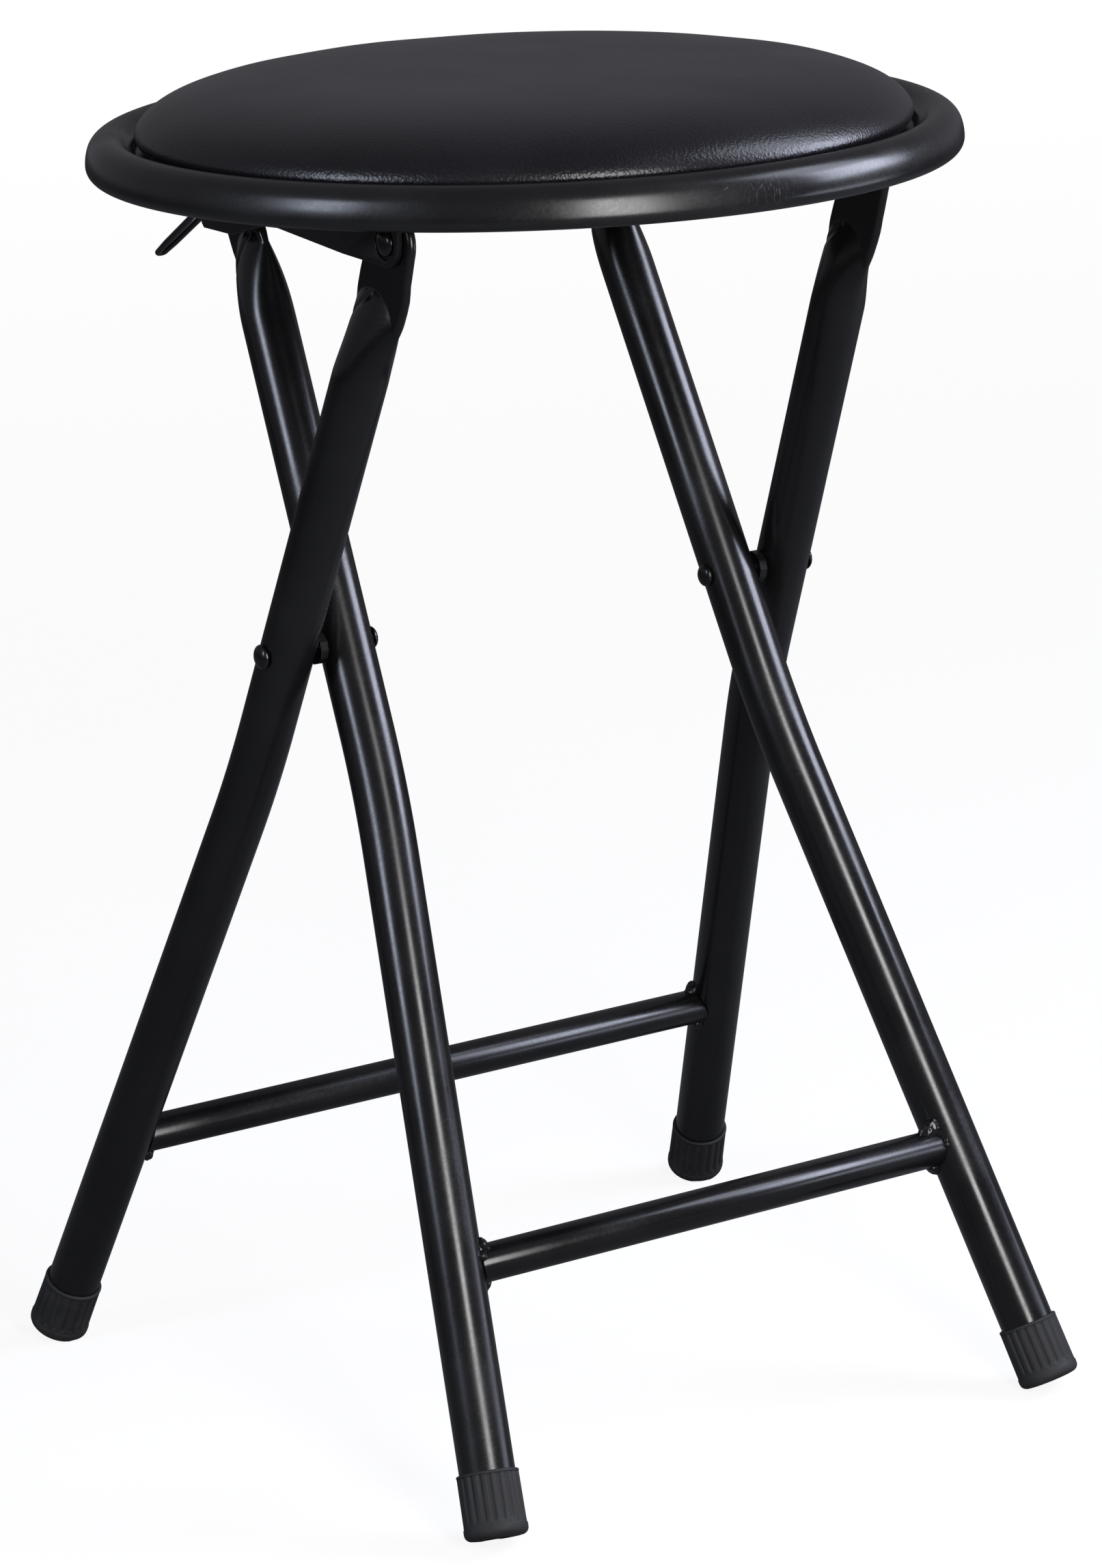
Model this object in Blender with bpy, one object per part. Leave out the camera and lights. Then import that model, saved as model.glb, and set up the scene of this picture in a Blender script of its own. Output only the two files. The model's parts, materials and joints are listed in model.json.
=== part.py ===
"""Round folding stool: tubular steel X frame, padded round seat, wire safety latch.

World frame in metres: +Z up, the floor is z = 0, X runs along the hinge axes and the
front of the seat points to -Y. The origin is on the floor under the middle of the stool.
"""
import math

import bmesh
import bpy
from mathutils import Matrix, Vector

MM = 0.001
TOUCH_GAP = 0.3 * MM

# Seat pan: pressed steel disc with a rolled rim.
SEAT_RADIUS = 150.0 * MM
RECESS_FLOOR_HEIGHT = 443.0 * MM
RIM_BEAD_RADIUS = 7.25 * MM
RIM_HEIGHT = RECESS_FLOOR_HEIGHT
RIM_ROLL_START = math.radians(135.0)
RIM_ROLL_END = math.radians(-135.0)
RIM_ROLL_STEPS = 12
PAN_THICKNESS = 1.0 * MM
PAN_LIP_WIDTH = 2.0 * MM
PAN_LIP_DROP = 3.5 * MM
PAN_FILLET = 1.2 * MM
RIM_WIDTH = 16.6 * MM
RECESS_RADIUS = SEAT_RADIUS - RIM_WIDTH
SEAT_SEGMENTS = 40

# Cushion: plywood board, foam and a stretched cover with a turned-in hem.
CUSHION_SIDE_GAP = 1.1 * MM
CUSHION_RADIUS = RECESS_RADIUS - CUSHION_SIDE_GAP
CUSHION_WIDEST_ABOVE_FLOOR = 6.0 * MM
CUSHION_CROWN = 18.7 * MM
CUSHION_FOOT_INSET = 2.6 * MM
CUSHION_FLATNESS = 5.2
CUSHION_SHOULDER = 1.8
COVER_THICKNESS = 1.0 * MM
COVER_HEM_WIDTH = 18.0 * MM
COVER_FOOT_ROUNDING = 1.1 * MM
CROWN_STEPS = 8
BOARD_THICKNESS = 6.0 * MM

# Seat screws from under the pan into the board.
SCREW_X = SEAT_RADIUS * 0.3
SCREW_Y = SEAT_RADIUS * 0.8 / 1.5
SCREW_RADIUS = 2.0 * MM
SCREW_HEAD_RADIUS = 4.2 * MM
SCREW_HEAD_HEIGHT = 2.4 * MM
SCREW_BITE = 4.0 * MM
SCREW_POINT = 1.0 * MM

# Hinge axes, all along X, as (y, z). The upper two hang under the seat.
FRONT_AXIS_INSET = 80.8 * MM
FRONT_AXIS_DROP = 15.5 * MM
ROD_AXIS_INSET = 78.5 * MM
ROD_AXIS_DROP = 22.0 * MM
CROSS_AXIS_HEIGHT = 278.0 * MM
CROSS_AXIS = (0.0, CROSS_AXIS_HEIGHT)
FRONT_AXIS = (FRONT_AXIS_INSET - SEAT_RADIUS, RECESS_FLOOR_HEIGHT - FRONT_AXIS_DROP)
ROD_AXIS = (SEAT_RADIUS - ROD_AXIS_INSET, RECESS_FLOOR_HEIGHT - ROD_AXIS_DROP)

# Leg tubes.
LEG_RADIUS = 9.5 * MM
LEG_WALL = 1.0 * MM
LEG_SIDES = 16
TAB_HALF_WIDTH = 11.7 * MM
TAB_HALF_THICKNESS = 1.7 * MM
TAB_OFFSET = 0.8 * MM
OUTER_TAB_FLAT = 20.0 * MM
INNER_TAB_FLAT = 11.5 * MM
TAB_SWELL_LENGTH = 31.0 * MM
TAB_SWELL_POWER = 2.2
TAB_EDGE_SINE = 0.766
TAB_SWELL_STEPS = 5
BORE_SWELL_STEPS = 3
OUTER_LEG_INSET = 47.6 * MM
LEG_PAIR_SPACING = 23.1 * MM
OUTER_HALF_SPACING = SEAT_RADIUS - OUTER_LEG_INSET
INNER_HALF_SPACING = OUTER_HALF_SPACING - LEG_PAIR_SPACING
OUTER_UPPER_SPLAY = math.radians(3.2)
INNER_UPPER_SPLAY = math.radians(2.5)
OUTER_LOWER_SPLAY = math.radians(8.3)
INNER_LOWER_SPLAY = math.radians(7.6)
KNEE_HEIGHT = 230.0 * MM
KNEE_RADIUS = 500.0 * MM
KNEE_STEPS = 3

# Rubber feet.
FOOT_LENGTH = 22.0 * MM
FOOT_WALL = 1.1 * MM
FOOT_FLOOR = 3.0 * MM
FOOT_ROUNDING = 2.4 * MM
FOOT_SWELL = 0.3 * MM
FOOT_FLAT_DEPTH = 0.6 * MM
FOOT_FLUTES = 14
FLUTE_DEPTH = 0.45 * MM
FLUTE_START = 4.0 * MM
FLUTE_END = 16.5 * MM
FLUTE_RUN_OUT = 1.0 * MM

# Crossbars between the legs.
BAR_RADIUS = 6.6 * MM
BAR_WALL = 1.0 * MM
BAR_HEIGHT = 83.5 * MM
BAR_SIDES = 16
WELD_RADIUS = 7.6 * MM
WELD_LENGTH = 2.4 * MM

# Rivets, spacers, washers and the rod that joins the inner leg tops.
CROSS_RIVET_RADIUS = 2.5 * MM
CROSS_HEAD_RADIUS = 4.0 * MM
CROSS_TAIL_RADIUS = 4.4 * MM
RIVET_HEAD_HEIGHT = 2.0 * MM
SPACER_RADIUS = 5.9 * MM
TOP_RIVET_RADIUS = 3.0 * MM
TOP_HEAD_RADIUS = 4.6 * MM
WASHER_RADIUS = 7.0 * MM
WASHER_THICKNESS = 1.0 * MM
ROD_RADIUS = 4.0 * MM
ROD_CHAMFER = 0.8 * MM
ROUND_SIDES = 12

# Seat brackets: pressed channels under the pan, from the front hinge back to the rod.
BRACKET_THICKNESS = 2.0 * MM
EAR_RADIUS = 8.3 * MM
EAR_RECESS_RADIUS = 6.0 * MM
EAR_RECESS_DEPTH = 0.8 * MM
EDGE_BELOW_FRONT_AXIS = 7.2 * MM
JOG_BEHIND_FRONT_AXIS = 27.2 * MM
JOG_AHEAD_OF_ROD = 31.5 * MM
JOG_BELOW_ROD = 4.2 * MM
SLOPE_END_AHEAD_OF_ROD = 8.5 * MM
REAR_END_BEHIND_ROD = 12.5 * MM
REAR_BELOW_ROD = 10.0 * MM
BRACKET_EDGE_HEIGHT = FRONT_AXIS[1] - EDGE_BELOW_FRONT_AXIS
BRACKET_EDGE_DROP = 1.8 * MM
BRACKET_JOG_FRONT = FRONT_AXIS[0] + JOG_BEHIND_FRONT_AXIS
BRACKET_JOG_REAR = ROD_AXIS[0] - JOG_AHEAD_OF_ROD
BRACKET_REAR_SLOPE_END = ROD_AXIS[0] - SLOPE_END_AHEAD_OF_ROD
BRACKET_REAR_END = ROD_AXIS[0] + REAR_END_BEHIND_ROD
BRACKET_JOG_BOTTOM = ROD_AXIS[1] - JOG_BELOW_ROD
BRACKET_REAR_BOTTOM = ROD_AXIS[1] - REAR_BELOW_ROD
BRACKET_BEND_SHARE = 0.82
BRACKET_CORNER = 1.5 * MM
BRACKET_REAR_CLEARANCE = 4.5 * MM
WEB_FRONT_LENGTH = 20.0 * MM
WEB_FRONT_WIDTH = 12.0 * MM
HOOK_CLEARANCE = 4.9 * MM
HOOK_AHEAD_OF_ROD = 15.5 * MM
HOOK_BEHIND_ROD = 23.5 * MM
HOOK_REAR_BELOW_ROD = 2.5 * MM
HOOK_FRONT = ROD_AXIS[0] - HOOK_AHEAD_OF_ROD
HOOK_REAR_END = ROD_AXIS[0] + HOOK_BEHIND_ROD
HOOK_REAR_BOTTOM = ROD_AXIS[1] - HOOK_REAR_BELOW_ROD
HOOK_LIP_WIDTH = 8.5 * MM
HOOK_LIP_BOTTOM = BRACKET_REAR_BOTTOM
HOOK_MOUTH_RISE = 2.3 * MM
HOOK_MOUTH_WIDTH = 2.5 * MM
HOOK_FRONT_RISE = 1.5 * MM
HOOK_CORNER = 1.0 * MM
HOOK_STEPS = 8

# Wire latch that keeps the rod in the hook.
WIRE_RADIUS = 1.15 * MM
WIRE_SIDES = 8
WIRE_BEND_RADIUS = 1.4 * MM
LATCH_BEHIND_ROD = 18.5 * MM
LATCH_ABOVE_ROD = 3.0 * MM
LATCH_LOOP_REACH = 55.0 * MM
LATCH_LOOP_DROP = 32.0 * MM
LATCH_AXIS = (ROD_AXIS[0] + LATCH_BEHIND_ROD, ROD_AXIS[1] + LATCH_ABOVE_ROD)
LATCH_EXIT = (-0.5, -0.866)
LATCH_CATCH_START = 7.0 * MM
LATCH_CATCH_END = 3.4 * MM
LATCH_LOOP_TIP = (LATCH_AXIS[0] + LATCH_LOOP_REACH, LATCH_AXIS[1] - LATCH_LOOP_DROP)
LATCH_LOOP_START = 12.0 * MM
LATCH_LOOP_TAPER = 0.5 * MM
LATCH_WAIST_SHARE = 0.85

SHARP_ANGLE = math.radians(38.0)


def clear_scene():
    """Remove every object that the file opened with."""
    for item in list(bpy.data.objects):
        bpy.data.objects.remove(item, do_unlink=True)


def material(name, colour, roughness, metallic):
    """Return a Principled material, made once for each name."""
    found = bpy.data.materials.get(name)
    if found:
        return found
    made = bpy.data.materials.new(name)
    made.use_nodes = True
    shader = made.node_tree.nodes["Principled BSDF"]
    shader.inputs["Base Color"].default_value = (*colour, 1.0)
    shader.inputs["Roughness"].default_value = roughness
    shader.inputs["Metallic"].default_value = metallic
    return made


def gloss_black_steel():
    return material("gloss_black_steel", (0.012, 0.012, 0.014), 0.28, 0.0)


def satin_black_steel():
    return material("satin_black_steel", (0.02, 0.02, 0.022), 0.42, 0.0)


def black_leatherette():
    return material("black_leatherette", (0.018, 0.018, 0.021), 0.5, 0.0)


def black_rubber():
    return material("black_rubber", (0.02, 0.02, 0.02), 0.75, 0.0)


def bright_steel():
    return material("bright_steel", (0.55, 0.55, 0.56), 0.35, 1.0)


def plywood():
    return material("plywood", (0.52, 0.36, 0.2), 0.7, 0.0)


def foam():
    return material("foam", (0.75, 0.72, 0.6), 0.9, 0.0)


def add_object(name, shape, finish, pivot=(0.0, 0.0, 0.0)):
    """Turn a bmesh in world coordinates into a named object with its origin at pivot."""
    bmesh.ops.recalc_face_normals(shape, faces=shape.faces)
    bmesh.ops.translate(shape, verts=shape.verts, vec=-Vector(pivot))
    mesh = bpy.data.meshes.new(name)
    shape.to_mesh(mesh)
    shape.free()
    mesh.materials.append(finish)
    mesh.shade_smooth()
    mesh.set_sharp_from_angle(angle=SHARP_ANGLE)
    item = bpy.data.objects.new(name, mesh)
    item.location = pivot
    bpy.context.scene.collection.objects.link(item)
    return item


def boolean(target, tool, operation):
    """Apply one exact Boolean to target and delete the tool."""
    cut = target.modifiers.new(operation.lower(), "BOOLEAN")
    cut.operation = operation
    cut.solver = "EXACT"
    cut.object = tool
    bpy.context.view_layer.update()
    graph = bpy.context.evaluated_depsgraph_get()
    result = bpy.data.meshes.new_from_object(target.evaluated_get(graph))
    target.modifiers.clear()
    old = target.data
    target.data = result
    result.name = old.name
    bpy.data.meshes.remove(old)
    bpy.data.objects.remove(tool, do_unlink=True)
    target.data.shade_smooth()
    target.data.set_sharp_from_angle(angle=SHARP_ANGLE)


def skin(rings):
    """Join rings of points with quads and cap both ends."""
    shape = bmesh.new()
    rows = [[shape.verts.new(point) for point in ring] for ring in rings]
    for first, second in zip(rows, rows[1:]):
        count = len(first)
        for index in range(count):
            after = (index + 1) % count
            shape.faces.new((first[index], first[after], second[after], second[index]))
    shape.faces.new(rows[0])
    shape.faces.new(rows[-1])
    return shape


def lathe(outline, segments):
    """Turn a closed (radius, height) outline about Z; points on the axis become one vertex."""
    shape = bmesh.new()
    rows = []
    for radius, height in outline:
        if radius < 1e-6:
            rows.append([shape.verts.new((0.0, 0.0, height))] * segments)
            continue
        turn = [math.tau * index / segments for index in range(segments)]
        rows.append([shape.verts.new((radius * math.cos(a), radius * math.sin(a), height)) for a in turn])
    for first, second in zip(rows, rows[1:] + rows[:1]):
        for index in range(segments):
            after = (index + 1) % segments
            corners = [first[index], first[after], second[after], second[index]]
            unique = list(dict.fromkeys(corners))
            if len(unique) > 2:
                shape.faces.new(unique)
    return shape


def place_along_x(shape, centre):
    """Turn a lathed shape so that its axis runs along +X and starts at centre."""
    turn = Matrix.Rotation(math.radians(90.0), 4, "Y")
    bmesh.ops.transform(shape, matrix=Matrix.Translation(centre) @ turn, verts=shape.verts)
    return shape


def rod_along_x(x_start, x_end, axis, radius):
    """Plain round bar along X between two x positions."""
    length = x_end - x_start
    shape = lathe([(0.0, 0.0), (radius, 0.0), (radius, length), (0.0, length)], ROUND_SIDES)
    return place_along_x(shape, (x_start, *axis))


def block(low, high):
    """Axis-aligned box between two corners."""
    shape = bmesh.new()
    size = Vector(high) - Vector(low)
    middle = (Vector(high) + Vector(low)) / 2
    bmesh.ops.create_cube(shape, size=1.0, matrix=Matrix.Translation(middle) @ Matrix.Diagonal((*size, 1.0)))
    return shape


def cutter(shape):
    """Make a hidden helper object for a Boolean."""
    item = add_object("cutter", shape, satin_black_steel())
    item.hide_render = True
    item.display_type = "WIRE"
    return item


def cut_hole_along_x(target, axis, radius, x_low, x_high):
    boolean(target, cutter(rod_along_x(x_low, x_high, axis, radius)), "DIFFERENCE")


def cut_upright_hole(target, x, y, radius, low, high):
    """Cut a round hole along Z between two heights."""
    shape = lathe([(0.0, low), (radius, low), (radius, high), (0.0, high)], ROUND_SIDES)
    bmesh.ops.translate(shape, verts=shape.verts, vec=(x, y, 0.0))
    boolean(target, cutter(shape), "DIFFERENCE")


def mirrored(points, side):
    """Mirror points given for the right side when side is -1."""
    return [Vector((side * point[0], point[1], point[2])) for point in points]


def offset_path(path, distance):
    """Shift an open 2D path sideways by distance, to the right of its direction."""
    moved = []
    for index, point in enumerate(path):
        before = path[max(index - 1, 0)]
        after = path[min(index + 1, len(path) - 1)]
        along = Vector((after[0] - before[0], after[1] - before[1])).normalized()
        moved.append((point[0] + along.y * distance, point[1] - along.x * distance))
    return moved


def arc(centre, radius, start, end, steps):
    """Points on a 2D arc, both ends included."""
    angles = [start + (end - start) * index / steps for index in range(steps + 1)]
    return [(centre[0] + radius * math.cos(a), centre[1] + radius * math.sin(a)) for a in angles]


class Frame:
    """One pair of legs: a plane through the crossing axis, leaning in Y."""

    def __init__(self, top_axis, half_spacing, upper_splay, lower_splay, tab_flat):
        rise = top_axis[1] - CROSS_AXIS[1]
        reach = top_axis[0] - CROSS_AXIS[0]
        self.top_length = math.hypot(rise, reach)
        self.down = Vector((0.0, -reach / self.top_length, -rise / self.top_length))
        self.normal = Vector((1.0, 0.0, 0.0)).cross(self.down)
        self.half_spacing = half_spacing
        self.upper_splay = upper_splay
        self.lower_splay = lower_splay
        self.top_axis = top_axis
        self.tab_flat = tab_flat
        self.top_x = half_spacing - self.top_length * math.tan(upper_splay)
        self.tab_x = self.top_x + TAB_OFFSET
        self.knee = (CROSS_AXIS[1] - KNEE_HEIGHT) / -self.down.z
        self.knee_x = half_spacing + self.knee * math.tan(upper_splay)

    def at(self, x, along):
        """World point at x, a distance along the frame's plane below the crossing axis."""
        return Vector((x, *CROSS_AXIS)) + self.down * along

    def lower_direction(self):
        """Direction of the right leg below its knee, downwards."""
        return Vector((math.sin(self.lower_splay), 0.0, 0.0)) + self.down * math.cos(self.lower_splay)

    def along_at_height(self, height):
        return (CROSS_AXIS[1] - height) / -self.down.z

    def leg_x(self, along):
        """Centre of the right leg below its knee."""
        return self.knee_x + (along - self.knee) * math.tan(self.lower_splay)

    def foot_end(self):
        """Middle of the rubber foot's end face, where its lower edge meets the floor."""
        direction = self.lower_direction()
        sine = math.sqrt(1.0 - direction.z ** 2)
        reach = foot_radius() - FOOT_ROUNDING
        height = reach * sine + FOOT_ROUNDING * (1.0 + direction.z) - FOOT_FLAT_DEPTH
        along = self.along_at_height(height)
        return self.at(self.leg_x(along), along)

    def tube_end(self):
        return self.foot_end() - self.lower_direction() * (FOOT_FLOOR + TOUCH_GAP)

    def knee_path(self):
        """Centre line points (x, along) through the knee's bend."""
        turn = self.lower_splay - self.upper_splay
        tangent = KNEE_RADIUS * math.tan(turn / 2)
        start = Vector((self.knee_x, self.knee)) - Vector(
            (math.sin(self.upper_splay), math.cos(self.upper_splay))) * tangent
        centre = start + Vector((math.cos(self.upper_splay), -math.sin(self.upper_splay))) * KNEE_RADIUS
        points = []
        for index in range(KNEE_STEPS + 1):
            angle = self.upper_splay + turn * index / KNEE_STEPS
            points.append(centre + Vector((-math.cos(angle), math.sin(angle))) * KNEE_RADIUS)
        return points


def foot_radius():
    return LEG_RADIUS + TOUCH_GAP + FOOT_WALL


OUTER = Frame(FRONT_AXIS, OUTER_HALF_SPACING, OUTER_UPPER_SPLAY, OUTER_LOWER_SPLAY, OUTER_TAB_FLAT)
INNER = Frame(ROD_AXIS, INNER_HALF_SPACING, INNER_UPPER_SPLAY, INNER_LOWER_SPLAY, INNER_TAB_FLAT)


def blend(value):
    """Smooth step from 0 to 1."""
    value = min(max(value, 0.0), 1.0)
    return value * value * (3.0 - 2.0 * value)


def tube_section(roundness, half_width, inset):
    """Points (width, thickness) of a leg's section, from pressed flat at 0 to round at 1.

    Between the two a swelling rises out of the flat tab, so an arched crease ends the tab.
    """
    swell = 1.0 - (1.0 - roundness) ** TAB_SWELL_POWER
    crown = TAB_HALF_THICKNESS + (LEG_RADIUS - TAB_HALF_THICKNESS) * swell - inset
    reach = half_width + (LEG_RADIUS - half_width) * blend(roundness) - inset
    points = []
    for index in range(LEG_SIDES):
        angle = math.tau * (index + 0.5) / LEG_SIDES
        sine = math.sin(angle)
        flat = (TAB_HALF_THICKNESS - inset) * min(abs(sine) / TAB_EDGE_SINE, 1.0)
        thickness = max(crown * abs(sine), flat)
        points.append((reach * math.cos(angle), math.copysign(thickness, sine)))
    return points


def leg_rings(frame, side, inset):
    """Rings from the tab's rounded top to the tube's lower end; inset is 0 outside."""
    rings = []

    def add_ring(x, along, lean, roundness, half_width):
        centre = frame.at(x, along)
        across = Vector((math.cos(lean), 0.0, 0.0)) - frame.down * math.sin(lean)
        section = tube_section(roundness, half_width, inset)
        rings.append(mirrored([centre + frame.normal * w + across * h for w, h in section], side))

    if inset == 0.0:
        for degrees in (76, 50, 24):
            angle = math.radians(degrees)
            along = -frame.top_length - TAB_HALF_WIDTH * math.sin(angle)
            add_ring(frame.tab_x, along, 0.0, 0.0, TAB_HALF_WIDTH * math.cos(angle))
        add_ring(frame.tab_x, -frame.top_length, 0.0, 0.0, TAB_HALF_WIDTH)
    steps = TAB_SWELL_STEPS if inset == 0.0 else BORE_SWELL_STEPS
    for index in range(steps + 1):
        share = index / steps
        below = frame.tab_flat + TAB_SWELL_LENGTH * share
        along = -frame.top_length + below
        slope = blend(share)
        straight_x = frame.half_spacing + along * math.tan(frame.upper_splay)
        x = frame.tab_x + (straight_x - frame.tab_x) * slope
        add_ring(x, along, frame.upper_splay * slope, share, TAB_HALF_WIDTH)
    knee = frame.knee_path()
    turn = frame.lower_splay - frame.upper_splay
    for index, point in enumerate(knee):
        add_ring(point.x, point.y, frame.upper_splay + turn * index / KNEE_STEPS, 1.0, TAB_HALF_WIDTH)
    end = frame.tube_end()
    along = (end - Vector((end.x, *CROSS_AXIS))).length
    add_ring(end.x, along, frame.lower_splay, 1.0, TAB_HALF_WIDTH)
    return rings


def make_leg(frame, side, name):
    """Hollow tube leg, flattened at its top, with its two rivet holes."""
    outer = leg_rings(frame, side, 0.0)
    inner = leg_rings(frame, side, LEG_WALL)
    leg = add_object(name, skin(outer + inner[::-1]), gloss_black_steel(), (0.0, *CROSS_AXIS))
    reach = SEAT_RADIUS
    low, high = sorted((0.0, side * reach))
    cut_hole_along_x(leg, CROSS_AXIS, CROSS_RIVET_RADIUS + TOUCH_GAP, low, high)
    top_radius = TOP_RIVET_RADIUS if frame is OUTER else ROD_RADIUS
    cut_hole_along_x(leg, frame.top_axis, top_radius + TOUCH_GAP, low, high)
    return leg


def make_crossbar(frame, name):
    """Tube between the two legs, coped to them, with a flared weld at each end."""
    along = frame.along_at_height(BAR_HEIGHT)
    centre = frame.at(0.0, along)
    leg_x = frame.leg_x(along)
    weld_start = leg_x - LEG_RADIUS - WELD_LENGTH
    outline = []
    for x, radius in ((-leg_x, WELD_RADIUS), (-leg_x + LEG_RADIUS, WELD_RADIUS), (-weld_start, BAR_RADIUS),
                      (weld_start, BAR_RADIUS), (leg_x - LEG_RADIUS, WELD_RADIUS), (leg_x, WELD_RADIUS)):
        outline.append((radius, x))
    bore = BAR_RADIUS - BAR_WALL
    outline += [(bore, leg_x), (bore, -leg_x)]
    bar = add_object(name, place_along_x(lathe(outline, BAR_SIDES), centre), gloss_black_steel())
    for side in (-1, 1):
        direction = frame.lower_direction()
        start = frame.at(leg_x, along) - direction * LEG_RADIUS * 3
        end = start + direction * LEG_RADIUS * 6
        across = Vector((math.cos(frame.lower_splay), 0.0, 0.0)) - frame.down * math.sin(frame.lower_splay)
        rings = []
        for point in (start, end):
            ring = []
            for index in range(LEG_SIDES):
                angle = math.tau * (index + 0.5) / LEG_SIDES
                ring.append(point + (frame.normal * math.cos(angle) + across * math.sin(angle))
                            * (LEG_RADIUS + TOUCH_GAP))
            rings.append(mirrored(ring, side))
        boolean(bar, cutter(skin(rings)), "DIFFERENCE")
    keep_middle(bar)
    return bar


def keep_middle(item):
    """Delete the loose ends that coping leaves outside the legs."""
    shape = bmesh.new()
    shape.from_mesh(item.data)
    keep = set()
    stack = [min(shape.verts, key=lambda vertex: abs(vertex.co.x))]
    while stack:
        vertex = stack.pop()
        if vertex in keep:
            continue
        keep.add(vertex)
        stack += [edge.other_vert(vertex) for edge in vertex.link_edges]
    bmesh.ops.delete(shape, geom=[vertex for vertex in shape.verts if vertex not in keep], context="VERTS")
    shape.to_mesh(item.data)
    shape.free()


def make_foot(frame, side, name):
    """Rubber ferrule: a fluted cup over the tube's end, worn flat where it stands."""
    direction = frame.lower_direction()
    across = Vector((math.cos(frame.lower_splay), 0.0, 0.0)) - frame.down * math.sin(frame.lower_splay)
    end = frame.foot_end()
    rim = foot_radius() - FOOT_SWELL
    body = foot_radius()
    bore = LEG_RADIUS + TOUCH_GAP
    sides = FOOT_FLUTES * 2
    stations = []
    for degrees in (90.0, 45.0, 0.0):
        angle = math.radians(degrees)
        height = FOOT_ROUNDING * (1.0 - math.sin(angle))
        stations.append((height, body - FOOT_ROUNDING * (1.0 - math.cos(angle)), 0.0))
    stations += [(FLUTE_START, body, 0.0), (FLUTE_START + FLUTE_RUN_OUT, body, 1.0)]
    stations += [(FLUTE_END - FLUTE_RUN_OUT, rim, 1.0), (FLUTE_END, rim, 0.0), (FOOT_LENGTH, rim, 0.0)]
    rings = []

    def add_ring(height, radius, flute):
        ring = []
        for index in range(sides):
            angle = math.tau * index / sides
            depth = FLUTE_DEPTH * flute * (index % 2)
            spoke = frame.normal * math.cos(angle) + across * math.sin(angle)
            ring.append(end - direction * height + spoke * (radius - depth))
        rings.append(mirrored(ring, side))

    for height, radius, flute in stations:
        add_ring(height, radius, flute)
    add_ring(FOOT_LENGTH, bore, 0.0)
    add_ring(FOOT_FLOOR, bore, 0.0)
    foot = add_object(name, skin(rings), black_rubber())
    spread = SEAT_RADIUS * 2
    ground = cutter(block((-spread, -spread, -FOOT_LENGTH), (spread, spread, 0.0)))
    boolean(foot, ground, "DIFFERENCE")
    return foot


def pan_top_path():
    """Upper face of the pan's section, from its centre out and round the rolled rim."""
    bead_centre = (SEAT_RADIUS - RIM_BEAD_RADIUS, RIM_HEIGHT)
    crest = RIM_HEIGHT + RIM_BEAD_RADIUS
    lip_height = crest - PAN_LIP_DROP
    path = [(0.0, RECESS_FLOOR_HEIGHT), (RECESS_RADIUS - PAN_FILLET, RECESS_FLOOR_HEIGHT)]
    path += [(RECESS_RADIUS, RECESS_FLOOR_HEIGHT + PAN_FILLET)]
    path += [(RECESS_RADIUS + PAN_LIP_WIDTH * 0.2, lip_height - PAN_LIP_WIDTH * 0.5)]
    path += [(RECESS_RADIUS + PAN_LIP_WIDTH, lip_height)]
    path += arc(bead_centre, RIM_BEAD_RADIUS, RIM_ROLL_START, RIM_ROLL_END, RIM_ROLL_STEPS)
    return path


def make_pan():
    """Pressed steel seat pan with a rolled rim and four screw holes."""
    top = pan_top_path()
    under = offset_path(top, PAN_THICKNESS)
    under[0] = (0.0, RECESS_FLOOR_HEIGHT - PAN_THICKNESS)
    pan = add_object("seat_pan", lathe(top + under[::-1], SEAT_SEGMENTS), satin_black_steel())
    for x, y in screw_places():
        cut_upright_hole(pan, x, y, SCREW_RADIUS + TOUCH_GAP, RECESS_FLOOR_HEIGHT - PAN_THICKNESS * 2,
                         RECESS_FLOOR_HEIGHT + PAN_THICKNESS)
    return pan


def screw_places():
    return [(SCREW_X * i, SCREW_Y * j) for i in (-1, 1) for j in (-1, 1)]


def widest_height():
    return RECESS_FLOOR_HEIGHT + CUSHION_WIDEST_ABOVE_FLOOR


def crown_path(radius, crown):
    """Cushion top from its widest line in to the centre, as a superellipse."""
    points = []
    for index in range(CROWN_STEPS + 1):
        share = math.cos(math.radians(90.0) * index / CROWN_STEPS)
        reach = radius * share ** (0.35 + 0.65 * index / CROWN_STEPS)
        height = crown * (1.0 - (reach / radius) ** CUSHION_FLATNESS) ** (1.0 / CUSHION_SHOULDER)
        points.append((reach if index < CROWN_STEPS else 0.0, widest_height() + height))
    return points


def make_cover():
    """Leatherette skin: crowned top, sides drawn in at the rim, hem turned under the board."""
    base = RECESS_FLOOR_HEIGHT + TOUCH_GAP
    foot = CUSHION_RADIUS - CUSHION_FOOT_INSET
    outer = [(foot - COVER_HEM_WIDTH, base), (foot - COVER_FOOT_ROUNDING, base)]
    outer += [(foot, base + COVER_FOOT_ROUNDING)]
    outer += [(CUSHION_RADIUS - CUSHION_FOOT_INSET * 0.3, base + CUSHION_WIDEST_ABOVE_FLOOR * 0.57)]
    outer += crown_path(CUSHION_RADIUS, CUSHION_CROWN)
    inner = offset_path(outer, -COVER_THICKNESS)
    inner[0] = (outer[0][0], base + COVER_THICKNESS)
    inner[-1] = (0.0, outer[-1][1] - COVER_THICKNESS)
    return add_object("seat_cover", lathe(outer + inner[::-1], SEAT_SEGMENTS), black_leatherette())


def board_bottom():
    return RECESS_FLOOR_HEIGHT + TOUCH_GAP + COVER_THICKNESS + TOUCH_GAP


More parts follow.
